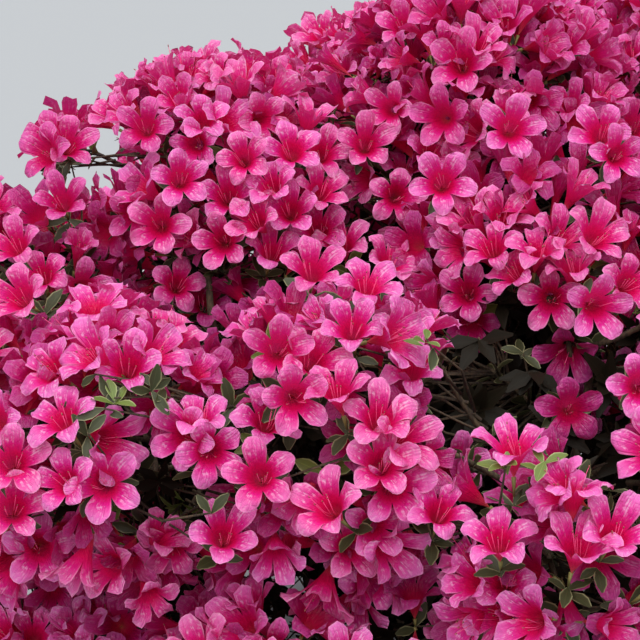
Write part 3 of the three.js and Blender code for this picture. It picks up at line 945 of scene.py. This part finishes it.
def bark_material(name, ridge, furrow, grain_mm):
    """Bark that weathers grey-brown on its ridges and stays dark in its furrows, fully matt. Its
    grain is drawn out upwards."""
    material, tree, output = new_material(name)
    place = add_node(tree, "ShaderNodeTexCoord")
    stretch = add_node(
        tree,
        "ShaderNodeMapping",
        {"Vector": place.outputs["Object"], "Scale": (1.0, 1.0, 0.35)},
    )
    flakes = add_node(
        tree,
        "ShaderNodeTexNoise",
        {
            "Vector": stretch.outputs["Vector"], "Scale": 1 / (grain_mm * MM),
            "Detail": 5.0, "Roughness": 0.62,
        },
    )
    ramp = add_node(tree, "ShaderNodeValToRGB", {"Fac": flakes.outputs["Fac"]})
    set_stops(ramp, [(0.36, furrow), (0.62, ridge)])
    bump = add_node(
        tree,
        "ShaderNodeBump",
        {"Height": flakes.outputs["Fac"], "Strength": 0.6, "Distance": BARK_BUMP_MM * MM},
    )
    shader = add_node(
        tree,
        "ShaderNodeBsdfPrincipled",
        {"Base Color": ramp.outputs["Color"], "Roughness": 0.88, "Normal": bump.outputs["Normal"]},
    )
    tree.links.new(shader.outputs["BSDF"], output.inputs["Surface"])
    return material


def length_setting(name, description, metres):
    """A setting that is a length."""
    return FloatProperty(name=name, description=description, default=metres, unit="LENGTH")


def colour_setting(name, description, hex_text):
    """A setting that is a colour."""
    return FloatVectorProperty(
        name=name, description=description, size=4, subtype="COLOR", default=linear(hex_text)
    )


class AzaleaGrowth(bpy.types.PropertyGroup):
    """How densely the shrub grows."""

    truss_spacing: length_setting("Truss spacing", "Between the middles of trusses", 0.045)
    truss_depth: length_setting("Truss depth", "From a truss's face to its foot", 0.039)
    whorl_leaves: IntProperty(name="Whorl leaves", description="Leaves under each truss", default=4)


class AzaleaBlossom(bpy.types.PropertyGroup):
    """Sizes and colours of the blossoms."""

    width: length_setting("Width", "Across an open blossom", 0.042)
    depth: length_setting("Depth", "From a blossom's foot to its face", 0.024)
    throat: colour_setting("Throat", "Colour in the throat", "#D80854")
    lobe: colour_setting("Lobe", "Colour half-way out", "#D61E80")
    tip: colour_setting("Tip", "Colour at the lobes' ends", "#E26EB0")


class AzaleaLeaf(bpy.types.PropertyGroup):
    """Sizes and colours of the leaves."""

    length: length_setting("Length", "Of a full-grown leaf", 0.0175)
    width: length_setting("Width", "Across a full-grown leaf", 0.0078)
    old: colour_setting("Old leaf", "Colour of last year's leaves", "#373B21")
    young: colour_setting("Young leaf", "Colour of this year's leaves", "#5E6E2E")


class AzaleaStage(bpy.types.PropertyGroup):
    """The floor, the light and the camera."""

    floor_width: length_setting("Floor width", "Side of the floor", 12.0)
    lens: FloatProperty(
        name="Lens", description="Focal length", default=VIEW.lens, subtype="DISTANCE_CAMERA"
    )
    elevation: FloatProperty(
        name="Elevation", description="How far the camera looks down",
        default=math.radians(VIEW.drop), unit="ROTATION",
    )


class AzaleaSettings(bpy.types.PropertyGroup):
    """All of the shrub's settings."""

    growth: PointerProperty(type=AzaleaGrowth)
    blossom: PointerProperty(type=AzaleaBlossom)
    leaf: PointerProperty(type=AzaleaLeaf)
    stage: PointerProperty(type=AzaleaStage)


def shrub_growth(context):
    """The growth for the settings in use."""
    growth = context.scene.azalea.growth
    return grow(growth.truss_spacing / MM, growth.truss_depth / MM)


def bark_relief(turn, run, key):
    """Relief of bark as a share of the radius, as sums of sines: seven ridges that run along a
    limb and wander round it, finer cracks across them, and low swellings. turn is the angle round
    and run the distance along, in millimetres."""
    phase = 2 * math.pi * chance(key, 0)
    ridges = 0.030 * np.sin(7 * turn + 0.045 * run + phase + 0.8 * np.sin(0.11 * run + phase))
    cracks = 0.022 * np.sin(13 * turn - 0.12 * run + 2 * phase) * np.sin(0.31 * run + phase)
    swells = 0.045 * np.sin(0.07 * run + 3 * phase) + 0.03 * np.sin(2 * turn + 0.05 * run)
    return ridges + cracks + swells


class AZALEA_OT_stem(bpy.types.Operator):
    """Makes the short main stem with its root flare and bark relief"""

    bl_idname = "azalea.stem"
    bl_label = "Main stem"

    def execute(self, context):
        sides, rings = 60, 44
        radius, height = np.array(STEM.outline, float).T
        run = np.linspace(0, height[-1], rings)
        turn = np.arange(sides) * 2 * math.pi / sides
        low = np.maximum(0, 1 - run / STEM.flare_height)[:, None]
        swell = 1 + STEM.flare_depth * low * np.cos(STEM.flare_lobes * turn)
        relief = 1 + bark_relief(turn[None], run[:, None], STEM.key)
        out = np.interp(run, height, radius)[:, None] * swell * relief
        ring = np.stack([np.cos(turn), np.sin(turn), np.zeros(sides)], axis=1)
        points = stem_axis(run)[:, None] + out[..., None] * ring
        bark = bark_material("Weathered azalea bark", linear("#7A6653"), linear("#33261D"), 5.0)
        make_piece("stem", points, tube_faces(1, rings, sides), bark, ["main_stem"])
        return {"FINISHED"}


class AZALEA_OT_boughs(bpy.types.Operator):
    """Makes the boughs, each a tapering limb with bark relief along its curve"""

    bl_idname = "azalea.boughs"
    bl_label = "Boughs"

    def execute(self, context):
        sides, rings = 18, 56
        share = np.linspace(0, 1, rings)
        turn = np.arange(sides) * 2 * math.pi / sides
        parts = []
        for plan in shrub_growth(context).plans:
            middle = curve_at(plan.controls, share)
            along = unit(np.gradient(middle, axis=0))
            across = unit(np.cross(along, along[0] + np.array([0.3, 0.2, -0.9])))
            third = np.cross(along, across)
            run = np.append(0, np.linalg.norm(np.diff(middle, axis=0), axis=1).cumsum())
            radius = plan.radii[0] + (plan.radii[1] - plan.radii[0]) * share
            out = radius[:, None] * (1 + bark_relief(turn[None], run[:, None], plan.key))
            ring = turned(across[:, None], third[:, None], turn)
            parts.append((middle[:, None] + out[..., None] * ring, tube_faces(1, rings, sides)))
        points, faces = joined(parts)
        bark = bark_material("Azalea bough bark", linear("#84705B"), linear("#3B2C21"), 3.5)
        make_piece("boughs", points, faces, bark, BOUGHS)
        return {"FINISHED"}


class AZALEA_OT_twigs(bpy.types.Operator):
    """Makes the stems, branches, twigs and sprigs of the masses"""

    bl_idname = "azalea.twigs"
    bl_label = "Twigs"

    def execute(self, context):
        growth = shrub_growth(context)
        parts = []
        for kind, size, sides, rings in (
            ("stem", STEMS, 8, 6), ("branch", BRANCHES, 6, 7), ("twig", TWIGS, 5, 6),
            ("sprig", SPRIGS, 3, 3), ("inner_sprig", SPRIGS, 3, 3),
        ):
            start, end = getattr(growth, kind)[:, 0], getattr(growth, kind)[:, 1]
            length = np.linalg.norm(end - start, axis=1, keepdims=True)
            bow = scatter(np.arange(len(start)), 60) * length * size.bow
            points = tube_points(start, end, size.radius, sides, rings, bow)
            parts.append((points, tube_faces(len(start), rings, sides)))
        points, faces = joined(parts)
        bark = bark_material("Young azalea bark", linear("#574834"), linear("#2A2018"), 2.0)
        make_piece("twigs", points, faces, bark, MASSES)
        return {"FINISHED"}


# Leaves: how many stand round a twig's middle and end and a branch's end, how many radians they
# lean from there, from a truss's axis and in a spray, and how many millimetres beyond the foot
# they start. Then their sizes, with those on shoots as shares of the others, how far they fold up
# and bend back, how far along them their place is tested, how much paler the rib is than the
# blade, and the share of young ones.
LEAVES = SimpleNamespace(
    twig_middle=6, twig_end=5, branch_end=8,
    limb_lean=(0.6, 1.5), lean=(0.8, 1.6), inner_lean=(0.3, 1.7), steps=(-7.0, 1.0),
    sizes=(0.7, 1.15), old_shoot=0.85, fresh_shoot=0.75, fold=0.35, bend=0.16, tested=0.7,
    rib=1.5, young=0.10,
)


def leaf_points(root, along, upward, length, width, rows):
    """Corners of many leaves, on a grid of 3 columns. At the share s of its length a leaf is
    width (0.1 + 0.9 sin(pi s^1.25)) wide, lifted at its edges, and bends back by s squared."""
    s = np.linspace(0.0, 1.0, rows)[None, :, None]
    v = np.array([-1.0, 0.0, 1.0])[None, None, :]
    half, length = width[:, None, None] / 2, length[:, None, None]
    wide = half * (0.1 + 0.9 * np.sin(np.pi * np.clip(s, 0.02, 0.97) ** 1.25)) * v
    lift = np.abs(wide) * LEAVES.fold - length * LEAVES.bend * s**2
    across = unit(np.cross(upward, along))
    upright = np.cross(along, across)
    spot = root[:, None, None] + (length * s + 0 * v)[..., None] * along[:, None, None]
    return spot + wide[..., None] * across[:, None, None] + lift[..., None] * upright[:, None, None]


def leaf_uvs(copies, rows):
    """The leaves' shared map: across a leaf, and along it."""
    v, s = np.meshgrid(np.array([0.02, 0.5, 0.98]), np.linspace(0.02, 0.98, rows))
    return np.tile(np.stack([v, s], axis=-1).reshape(1, -1, 2), (copies, 1, 1))


def whorls(feet, axes, keys, count, lean):
    """Roots, directions and keys of leaves in whorls: count to a foot, a golden angle apart,
    leaning from the axis between the two angles of lean."""
    across, third = square_to(axes)
    number = np.arange(count)[None, :]
    leaf_keys = keys[:, None] * KEYS_TO_A_WHORL + number
    turn = 2 * math.pi * chance(keys, 31)[:, None] + number * GOLDEN_ANGLE
    tilt = between(leaf_keys, 32, *lean)
    out = turned(across[:, None], third[:, None], turn)
    along = turned(axes[:, None], out, tilt)
    upward = turned(-out, axes[:, None], tilt)
    step = between(leaf_keys, 33, *LEAVES.steps)[..., None]
    roots = feet[:, None] + axes[:, None] * step
    return roots.reshape(-1, 3), along.reshape(-1, 3), upward.reshape(-1, 3), leaf_keys.ravel()


def leaf_whorls(context):
    """All leaves' roots, directions and keys: halfway along each twig and at its end, at the ends
    of the branches, under the trusses in the light and those in the shade, and on the sprays."""
    growth = shrub_growth(context)
    trusses, inner = growth.trusses, growth.inner
    along_twig = unit(growth.twig[:, 1] - growth.twig[:, 0])
    along_branch = unit(growth.branch[:, 1] - growth.branch[:, 0])
    twigs, branches = np.arange(len(growth.twig)), np.arange(len(growth.branch))
    bloom = np.isin(trusses.key, blossom_frames(context).key // KEYS_TO_A_TRUSS)
    bloom |= (trusses.key >= SHOOT_KEY) | (chance(trusses.key, 42) < TRUSS.leafy)
    shade = keyed(trusses.key, SHADED_KEY, LEAD_KEY)
    lit = ~shade & bloom
    heart, inner_keys = inner.key >= HEART_KEY, INNER_KEY + inner.key
    count = context.scene.azalea.growth.whorl_leaves
    middle, on_limb, on_spray = growth.twig.mean(axis=1), LEAVES.limb_lean, LEAVES.inner_lean
    sets = [
        whorls(middle, along_twig, TWIG_MIDDLE_KEY + twigs, LEAVES.twig_middle, on_limb),
        whorls(
            growth.branch[:, 1], along_branch, BRANCH_END_KEY + branches, LEAVES.branch_end, on_limb
        ),
        *(
            whorls(trusses.foot[part], trusses.axis[part], trusses.key[part], number, LEAVES.lean)
            for part, number in ((lit, count), (shade, SHADED.leaves))
        ),
        whorls(growth.twig[:, 1], along_twig, TWIG_END_KEY + twigs, LEAVES.twig_end, on_limb),
        *(
            whorls(inner.place[part], inner.axis[part], inner_keys[part], number, on_spray)
            for part, number in ((~heart, INNER.leaves), (heart, HEART.leaves))
        ),
    ]
    return [np.concatenate(part) for part in zip(*sets)]


class AZALEA_OT_leaves(bpy.types.Operator):
    """Makes the leaves: a whorl under each truss, and others back along the twigs"""

    bl_idname = "azalea.leaves"
    bl_label = "Leaves"

    def execute(self, context):
        leaf = context.scene.azalea.leaf
        root, along, upward, keys = leaf_whorls(context)
        plant = keys // KEYS_TO_A_WHORL
        old_shoot = keyed(plant, SHOOT_KEY, FRESH_KEY)
        fresh_shoot = keyed(plant, FRESH_KEY, HEART_KEY)
        size = between(keys, 34, *LEAVES.sizes)
        for share, chosen in (
            (HEART.larger, plant >= INNER_KEY + HEART_KEY),
            (LEAVES.old_shoot, old_shoot), (LEAVES.fresh_shoot, fresh_shoot),
        ):
            size[chosen] *= share
        length, width = leaf.length / MM * size, leaf.width / MM * size
        spot = root + along * length[:, None] * LEAVES.tested
        inner = plant >= INNER_KEY
        shown = fresh_shoot | ~hides_lead(spot, LEAF_SIGHT, THROAT_DEPTH, BEHIND + HOLLOW_LEADS)
        shown &= ~(inner & hides_shoot(spot, LEAF_SIGHT))
        young = ((chance(plant, 35) < LEAVES.young) & ~old_shoot) | fresh_shoot
        for name, kind, blade, margin, wax, rows in (
            ("leaves_old", ~young & ~inner, tuple(leaf.old), linear("#96946C"), 0.4, 5),
            ("leaves_young", young & ~inner, tuple(leaf.young), linear("#A8AE78"), 0.5, 6),
            # The inner leaves' near-black blade and margin and weak wax are painted shade; their
            # brown tint is partly old bronzed leaves and partly painted light thrown back from the
            # bloom.
            ("leaves_inner", inner, linear("#1C1810"), linear("#241E15"), 0.12, 3),
        ):
            material = leaf_material(
                f"Azalea {name.replace('_', ' ')}", blade, margin, shaded(blade, LEAVES.rib), wax
            )
            chosen = kind & shown
            count = int(chosen.sum())
            parts = (part[chosen] for part in (root, along, upward, length, width))
            points = leaf_points(*parts, rows)
            faces, uvs = [grid_faces(count, rows, 3)], leaf_uvs(count, rows)
            make_piece(name, points, faces, material, MASSES, uvs)
        return {"FINISHED"}


def blossom_frames(context):
    """Feet, facings, ups and keys of all blossoms, with their stalks' roots, the tips that feed
    them, and whether they are leads and stand in the shade. A truss has two to four, spread round
    its axis, or one lead, and each one's first lobe points up."""
    trusses = shrub_growth(context).trusses
    across, third = square_to(trusses.axis)
    count = 2 + (chance(trusses.key, 40) < TRUSS.third).astype(int)
    count += chance(trusses.key, 41) < TRUSS.fourth
    count[chance(trusses.key, 42) < TRUSS.leafy] = 0
    shade = keyed(trusses.key, SHADED_KEY, LEAD_KEY)
    count[shade] = 2
    lead = keyed(trusses.key, LEAD_KEY, SHOOT_KEY)
    count[lead] = 1
    count[trusses.key >= SHOOT_KEY] = 0
    shade |= keyed(trusses.key, HOLLOW_KEY, SHOOT_KEY)
    rows = []
    for number in range(4):
        chosen = np.flatnonzero(count > number)
        keys = trusses.key[chosen] * KEYS_TO_A_TRUSS + number
        full = count[chosen] == 4
        middle = (full & (number == 3)) | lead[chosen]
        share = number / np.maximum(count[chosen] - full, 2)
        turn = 2 * math.pi * (chance(trusses.key[chosen], 43) + share)
        lean = np.where(middle, TRUSS.middle_lean, between(keys, 44, *TRUSS.lean))
        out = turned(across[chosen], third[chosen], turn)
        facing = unit(turned(trusses.axis[chosen], out, lean))
        stalk = between(keys, 45, *TRUSS.stalk) - np.where(shade[chosen], TRUSS.shorter, 0)
        root = trusses.foot[chosen]
        foot = root + facing * stalk[:, None]
        rows.append((foot, facing, keys, root, trusses.tip[chosen], lead[chosen], shade[chosen]))
    foot, facing, keys, root, tip, lead, shade = (np.concatenate(part) for part in zip(*rows))
    face = foot + facing * TRUSS.face
    to_face, to_foot = (
        np.linalg.norm(face[:, None] - part[lead][None], axis=2).min(axis=1)
        for part in (face, foot)
    )
    room = np.where(shade, LEAD_BEFORE, LEAD_APART)
    clear = np.minimum(to_face, to_foot * FOOT_ROOM) > room
    shown = lead | (clear & ~hides_lead(face, LEAD_SIGHT))
    shown &= ~hides_shoot(face, SHOOT_SIGHT) & (lead | ~in_recess(face, margin=RECESS_RIM))
    # Blossoms in the shady places take the darker pink: painted shade.
    shady = np.array(SHADY, float)
    shade |= ~lead & in_sight(face, shady[:, :2], shady[:, 2], SHADY_DEPTH)
    up = unit(UP + scatter(keys, 46) * TRUSS.sway - facing * (facing @ UP)[:, None])
    up = unit(up - facing * (up * facing).sum(axis=1, keepdims=True))
    frames = SimpleNamespace(
        foot=foot, facing=facing, up=up, key=keys, root=root, tip=tip, lead=lead, shade=shade
    )
    return chosen_from(frames, shown)


def chosen_from(frames, chosen):
    """The frames of the chosen blossoms alone."""
    return SimpleNamespace(**{name: part[chosen] for name, part in vars(frames).items()})


# The petals' grids, as shares of the way out and across each lobe: for blossoms that show plainly,
# for the others in the light, and for those in the shade.
PETAL_GRIDS = {
    "plain": (
        (0, 0.2, 0.34, 0.46, 0.56, 0.66, 0.76, 0.86, 0.94, 1),
        (-1, -0.78, -0.42, 0, 0.42, 0.78, 1),
    ),
    "light": ((0, 0.3, 0.46, 0.64, 0.82, 1), (-1, -0.55, 0, 0.55, 1)),
    "shade": ((0, 0.46, 0.73, 1), (-1, -0.5, 0.5, 1)),
}
LOBES = 5
# A petal's shape. Pairs are ranges, dealt out by blossom or by lobe. Sizes, and how far a
# blossom is open, are shares of its settings. The rest are shares of its radius, but the notch is
# a share of the way out.
PETAL = SimpleNamespace(
    sizes=(0.9, 1.08), lead_sizes=(0.94, 1.05),
    opened=(0.8, 1.06), lead_opened=(0.92, 1.04), half_opened=(0.4, 0.7), half_open_share=0.12,
    notch=0.46, foot=0.07, mouth=0.93, lengths=(-0.08, 0.08), widths=(0.29, 0.35), rounded=0.28,
    taller=(0.0, 0.4), keel=0.08, cup=(-0.12, 0.06), twist=(-0.09, 0.09), droop=(0.0, 0.24),
    wave=0.065, ripple=0.025, crimp=0.04,
)
# The petals' map in millimetres: five lobes side by side, and a lobe's length. The veins and the
# crinkles are as coarse, across and along, as they need to be to show in the render.
PETAL_MAP_MM = (65.0, 27.0)
VEINS_MM = (1.1, 14.0)
CRINKLES_MM = (2.4, 2.4)
# How far from a strip's middle its pale sides start and end, how far out on the map the lobe
# starts and its pale end, which heights of the relief are crests, how pale rim and crests are at
# most, and how near to white they are in the light. The pale crests are a painted highlight, and
# the pale rims partly painted edge light.
PALE = SimpleNamespace(
    sides=(0.38, 0.46), lobe=(0.5, 0.65), end=(0.93, 0.98), crests=(1.04, 1.28),
    rim=0.55, crest=0.9, white=0.27,
)
# The pinks, as a factor on the settings' colours and further ones on their blue and green: four
# for blossoms in the light, and one darker, less green copy, painted shade, for those in the shade.
PINKS = {
    "deep": (0.8, 0.98, 0.7),
    "hot": (0.92, 1.0, 0.85),
    "bright": (1.0, 1.02, 1.0),
    "lilac": (0.98, 1.14, 1.0),
    "shaded": (0.58, 0.9, 0.45),
}
# The pinks are dealt out by twig and by truss, and round this place the paler ones are dealt more
# often: painted light, so that bloom further from there looks darker.
SPRAY = SimpleNamespace(
    by_twig=0.6, by_truss=0.25, pull=0.4, painted_light_middle=np.array([20.0, -330.0, 430.0]), reach=330.0
)
# A blossom's stamens and its longer style, as shares of its radius, with radii in millimetres,
# and the share of blossoms in the light that show them.
THREAD = SimpleNamespace(
    count=5, share=0.45, reach=(1.0, 1.25), style=1.5, spread=(-0.32, 0.32), rise=(-0.18, 0.22),
    sag=0.10, radii=(0.32, 0.2), anther=0.7, anther_radii=(0.42, 0.34),
)
STALK = SimpleNamespace(radii=(0.7, 1.5), into=0.4)


def petal_points(frames, radius, depth, grid):
    """Corners of blossoms' petals, on a grid for each lobe. With u from the foot to the lobe's
    end, the funnel's radius grows as u^1.5 and its height as sin(1.75 u). Up to the notch the
    lobes share one tube. Beyond it, for its own share t, a lobe widens as a quarter sine to its
    own share of the radius, its rows bend back to a round end, and it has waved edges and its
    own droop."""
    rows, columns = (np.array(part, float) for part in grid)
    keys = frames.key
    lobe = np.arange(LOBES)[None, :, None, None]
    lobe_keys = keys[:, None, None, None] * LOBES + lobe
    u = rows[None, None, :, None]
    v = columns[None, None, None, :]
    t = np.clip((u - PETAL.notch) / (1 - PETAL.notch), 0, 1)
    half_open = chance(keys, 64) < PETAL.half_open_share
    size, others_opened, half_opened, lead_size, lead_opened = (
        between(keys, channel, *part)
        for channel, part in (
            (50, PETAL.sizes), (51, PETAL.opened), (51, PETAL.half_opened),
            (50, PETAL.lead_sizes), (51, PETAL.lead_opened),
        )
    )
    opened = np.where(frames.lead, lead_opened, np.where(half_open, half_opened, others_opened))
    opened = opened[:, None, None, None]
    size = (radius * np.where(frames.lead, lead_size, size))[:, None, None, None]
    half_sector = math.pi / LOBES
    flare = PETAL.foot * np.minimum(u / 0.2, 1) + PETAL.mouth * u**1.5
    reach = size * opened * flare * (1 + t * between(lobe_keys, 52, *PETAL.lengths))
    mouth = size * opened * (PETAL.foot + PETAL.mouth * PETAL.notch**1.5)
    grown = np.sin(math.pi / 2 * np.minimum(t / 0.65, 1))
    narrowed = 1 - 0.2 * np.clip((t - 0.65) / 0.35, 0, 1) ** 2
    broad = size * np.sqrt(opened) * between(lobe_keys, 65, *PETAL.widths)
    wide = np.where(
        u <= PETAL.notch,
        reach * np.sin(half_sector * v),
        (mouth * math.sin(half_sector) * (1 - grown) + broad * grown) * narrowed * v,
    )
    rounded = PETAL.rounded * size * t**2.2 * (1 - np.sqrt(1 - (0.95 * v) ** 2))
    curl = mouth * (1 - np.cos(half_sector * v)) * (1 - t) ** 2
    out = np.where(u <= PETAL.notch, reach * np.cos(half_sector * v), reach - curl - rounded)
    tall = depth * (1.35 - 0.35 * opened)
    wave = between(lobe_keys, 53, 0, 2 * math.pi)
    height = tall * (np.sin(1.75 * u) + between(keys, 59, *PETAL.taller)[:, None, None, None] * t)
    height = height + size * t * (
        - PETAL.keel * (1 - np.abs(v)) ** 2
        + between(lobe_keys, 54, *PETAL.cup) * v**2
        + between(lobe_keys, 55, *PETAL.twist) * v
        - between(lobe_keys, 56, *PETAL.droop) * t
        + PETAL.wave * np.sin(3.6 * v + 6 * u + wave) * (0.3 + np.abs(v))
        + PETAL.ripple * np.sin(14 * u - 2 * v + 2 * wave)
        + PETAL.crimp * v**2 * np.sin(19 * u + 3 * v - wave)
    )
    angle = 2 * math.pi / LOBES * lobe
    up, facing = frames.up[:, None, None, None], frames.facing[:, None, None, None]
    side = np.cross(frames.facing, frames.up)[:, None, None, None]
    outward, sideways = turned(up, side, angle), turned(side, -up, angle)
    points = frames.foot[:, None, None, None] + out[..., None] * outward
    return points + wide[..., None] * sideways + height[..., None] * facing


def petal_uvs(copies, grid):
    """The blossoms' shared map: five strips beside each other, one to a lobe, from foot to end."""
    rows, columns = (np.array(part, float) for part in grid)
    lobe = np.arange(LOBES)[:, None, None]
    across = (lobe + 0.5 + 0.46 * columns[None, None, :]) / LOBES + 0 * rows[None, :, None]
    along = 0.02 + 0.96 * rows[None, :, None] + 0 * across
    return np.tile(np.stack([across, along], axis=-1).reshape(1, -1, 2), (copies, 1, 1))


def shaded(colour, factor, blueness=1.0, greenness=1.0):
    """A colour made lighter or darker, and then its blue and green alone."""
    own = (1.0, greenness, blueness)
    return (*(min(1, part * factor * share) for part, share in zip(colour, own)), 1.0)


def paled(colour, share):
    """A colour brought nearer to white by a share."""
    return (*(part + (1 - part) * share for part in colour[:3]), 1.0)


class AZALEA_OT_blossoms(bpy.types.Operator):
    """Makes the petals of all blossoms: four pinks dealt out by spray, paler ones nearer the middle
    as painted light, and a darker one in the shade as painted shade
    """

    bl_idname = "azalea.blossoms"
    bl_label = "Blossoms"

    def execute(self, context):
        blossom = context.scene.azalea.blossom
        frames = blossom_frames(context)
        light = ~frames.shade
        # Painted light: the paler pinks are dealt more often near the middle of the bloom, so bloom
        # further off looks darker.
        away = np.linalg.norm(frames.foot - SPRAY.painted_light_middle, axis=1) / SPRAY.reach
        spray = chance(frames.tip, 57) * SPRAY.by_twig
        spray = spray + chance(frames.key // KEYS_TO_A_TRUSS, 58) * SPRAY.by_truss
        spray = spray + (1 - np.clip(away, 0, 1)) * SPRAY.pull
        rank = np.full(len(spray), len(PINKS) - 1)
        rank[light] = np.argsort(np.argsort(spray[light])) * (len(PINKS) - 1) // light.sum()
        kinds = {
            "plain": frames.lead, "light": light & ~frames.lead, "shade": ~light & ~frames.lead
        }
        for number, (pink, change) in enumerate(PINKS.items()):
            tip = shaded(blossom.tip, *change)
            # The last colour is the painted highlight of crests and rims: the tip nearer to white,
            # the more so the lighter the pink.
            material = petal_material(
                f"Azalea petal {pink}",
                shaded(blossom.throat, change[0]),
                shaded(blossom.lobe, *change),
                tip,
                paled(tip, PALE.white * change[0] ** 2),
            )
            parts, uvs = [], []
            for kind, of_kind in kinds.items():
                chosen = of_kind & (rank == number)
                if chosen.any():
                    grid, count = PETAL_GRIDS[kind], int(chosen.sum())
                    petals = chosen_from(frames, chosen)
                    points = petal_points(petals, blossom.width / 2 / MM, blossom.depth / MM, grid)
                    parts.append((points, [grid_faces(count * LOBES, len(grid[0]), len(grid[1]))]))
                    uvs.append(petal_uvs(count, grid).reshape(-1, 2))
            points, faces = joined(parts)
            uvs = np.concatenate(uvs)
            make_piece(f"blossoms_{pink}", points, faces, material, MASSES, uvs)
        return {"FINISHED"}


class AZALEA_OT_stamens(bpy.types.Operator):
    """Makes the stalks of all blossoms, and the stamens and anthers that show"""

    bl_idname = "azalea.stamens"
    bl_label = "Stalks and stamens"

    def execute(self, context):
        frames = blossom_frames(context)
        radius = context.scene.azalea.blossom.width / 2 / MM
        into = frames.foot + frames.facing * STALK.into
        stalks = tube_points(frames.root, into, STALK.radii, 3, 2, 0 * into)
        green = plain_material("Azalea calyx", linear("#7E7A44"), 0.6)
        make_piece("stalks", stalks, tube_faces(len(into), 2, 3), green, MASSES)

        kept = frames.lead | (~frames.shade & (chance(frames.key, 60) < THREAD.share))
        frames = chosen_from(frames, kept)
        side = np.cross(frames.facing, frames.up)
        threads, ends = [], []
        for number in range(THREAD.count):
            keys = frames.key * THREAD.count + number
            reach = between(keys, 61, *THREAD.reach) if number else np.full(len(keys), THREAD.style)
            spread = between(keys, 62, *THREAD.spread)[:, None] * radius
            rise = between(keys, 63, *THREAD.rise)[:, None] * radius
            start = frames.foot + frames.facing * 3 + side * spread * 0.1
            end = frames.foot + frames.facing * (radius * reach)[:, None]
            end = end + side * spread + frames.up * rise
            sag = frames.up * (-THREAD.sag * radius)
            threads.append(tube_points(start, end, THREAD.radii, 3, 3, sag))
            ends.append(end)
        threads = np.concatenate(threads)
        pink = plain_material("Azalea filament", linear("#E0467E"), 0.5)
        make_piece("stamens", threads, tube_faces(len(threads), 3, 3), pink, MASSES)

        ends = np.concatenate(ends)
        half = np.tile(frames.facing, (THREAD.count, 1)) * THREAD.anther
        anthers = tube_points(ends - half, ends + half, THREAD.anther_radii, 3, 2, 0 * ends)
        brown = plain_material("Azalea anther", linear("#9A5450"), 0.7)
        make_piece("anthers", anthers, tube_faces(len(ends), 2, 3), brown, MASSES)
        return {"FINISHED"}


# The strengths of the sky and of the bright part of the clouds, and how many degrees that part is
# across, off the zenith and turned.
LIGHT = SimpleNamespace(sky=0.72, sun=4.4, width=90, tilt=22, turn=-12)


class AZALEA_OT_stage(bpy.types.Operator):
    """Makes the pale floor, the soft light and the camera"""

    bl_idname = "azalea.stage"
    bl_label = "Stage"

    def execute(self, context):
        stage = context.scene.azalea.stage
        half = stage.floor_width / 2
        corners = [(-half, -half, 0), (half, -half, 0), (half, half, 0), (-half, half, 0)]
        mesh = bpy.data.meshes.new("floor")
        mesh.from_pydata(corners, [], [(0, 1, 2, 3)])
        mesh.materials.append(plain_material("Pale floor", linear("#949698"), 0.9))
        floor = bpy.data.objects.new("floor", mesh)
        context.scene.collection.objects.link(floor)

        world = bpy.data.worlds.new("Overcast sky")
        world.use_nodes = True
        sky = world.node_tree.nodes["Background"]
        sky.inputs["Color"].default_value = linear("#EDF1F6")
        sky.inputs["Strength"].default_value = LIGHT.sky
        context.scene.world = world

        light = bpy.data.lights.new("Soft cloud light", "SUN")
        light.angle = math.radians(LIGHT.width)
        light.energy = LIGHT.sun
        lamp = bpy.data.objects.new("Soft cloud light", light)
        lamp.rotation_euler = (math.radians(LIGHT.tilt), 0, math.radians(LIGHT.turn))
        context.scene.collection.objects.link(lamp)

        lens = bpy.data.cameras.new("Camera")
        lens.lens = stage.lens
        lens.sensor_width = VIEW.sensor
        camera = bpy.data.objects.new("Camera", lens)
        camera.location = (VIEW.place * MM).tolist()
        camera.rotation_euler = (math.pi / 2 - stage.elevation, 0, 0)
        context.scene.collection.objects.link(camera)
        context.scene.camera = camera
        context.scene.view_settings.view_transform = "Standard"
        return {"FINISHED"}


class AZALEA_PT_panel(bpy.types.Panel):
    """Lists the shrub's settings and operators."""

    bl_idname = "AZALEA_PT_panel"
    bl_label = "Azalea"
    bl_space_type = "VIEW_3D"
    bl_region_type = "UI"
    bl_category = "Azalea"

    def draw(self, context):
        settings = context.scene.azalea
        for group in (settings.growth, settings.blossom, settings.leaf, settings.stage):
            box = self.layout.box()
            for name in group.__annotations__:
                box.prop(group, name)
        for operator in OPERATORS:
            self.layout.operator(operator.bl_idname)


OPERATORS = (
    AZALEA_OT_stem,
    AZALEA_OT_boughs,
    AZALEA_OT_twigs,
    AZALEA_OT_leaves,
    AZALEA_OT_blossoms,
    AZALEA_OT_stamens,
    AZALEA_OT_stage,
)
CLASSES = (
    AzaleaGrowth, AzaleaBlossom, AzaleaLeaf, AzaleaStage, AzaleaSettings,
    *OPERATORS, AZALEA_PT_panel,
)


def register():
    """Registers the classes and hangs the settings on the scene."""
    for item in CLASSES:
        bpy.utils.register_class(item)
    bpy.types.Scene.azalea = PointerProperty(type=AzaleaSettings)


def unregister():
    """Takes the settings off the scene and unregisters the classes."""
    del bpy.types.Scene.azalea
    for item in reversed(CLASSES):
        bpy.utils.unregister_class(item)


def main():
    """Registers, and makes every piece in order."""
    register()
    bpy.ops.azalea.stem()
    bpy.ops.azalea.boughs()
    bpy.ops.azalea.twigs()
    bpy.ops.azalea.leaves()
    bpy.ops.azalea.blossoms()
    bpy.ops.azalea.stamens()
    bpy.ops.azalea.stage()


if __name__ == "__main__":
    main()
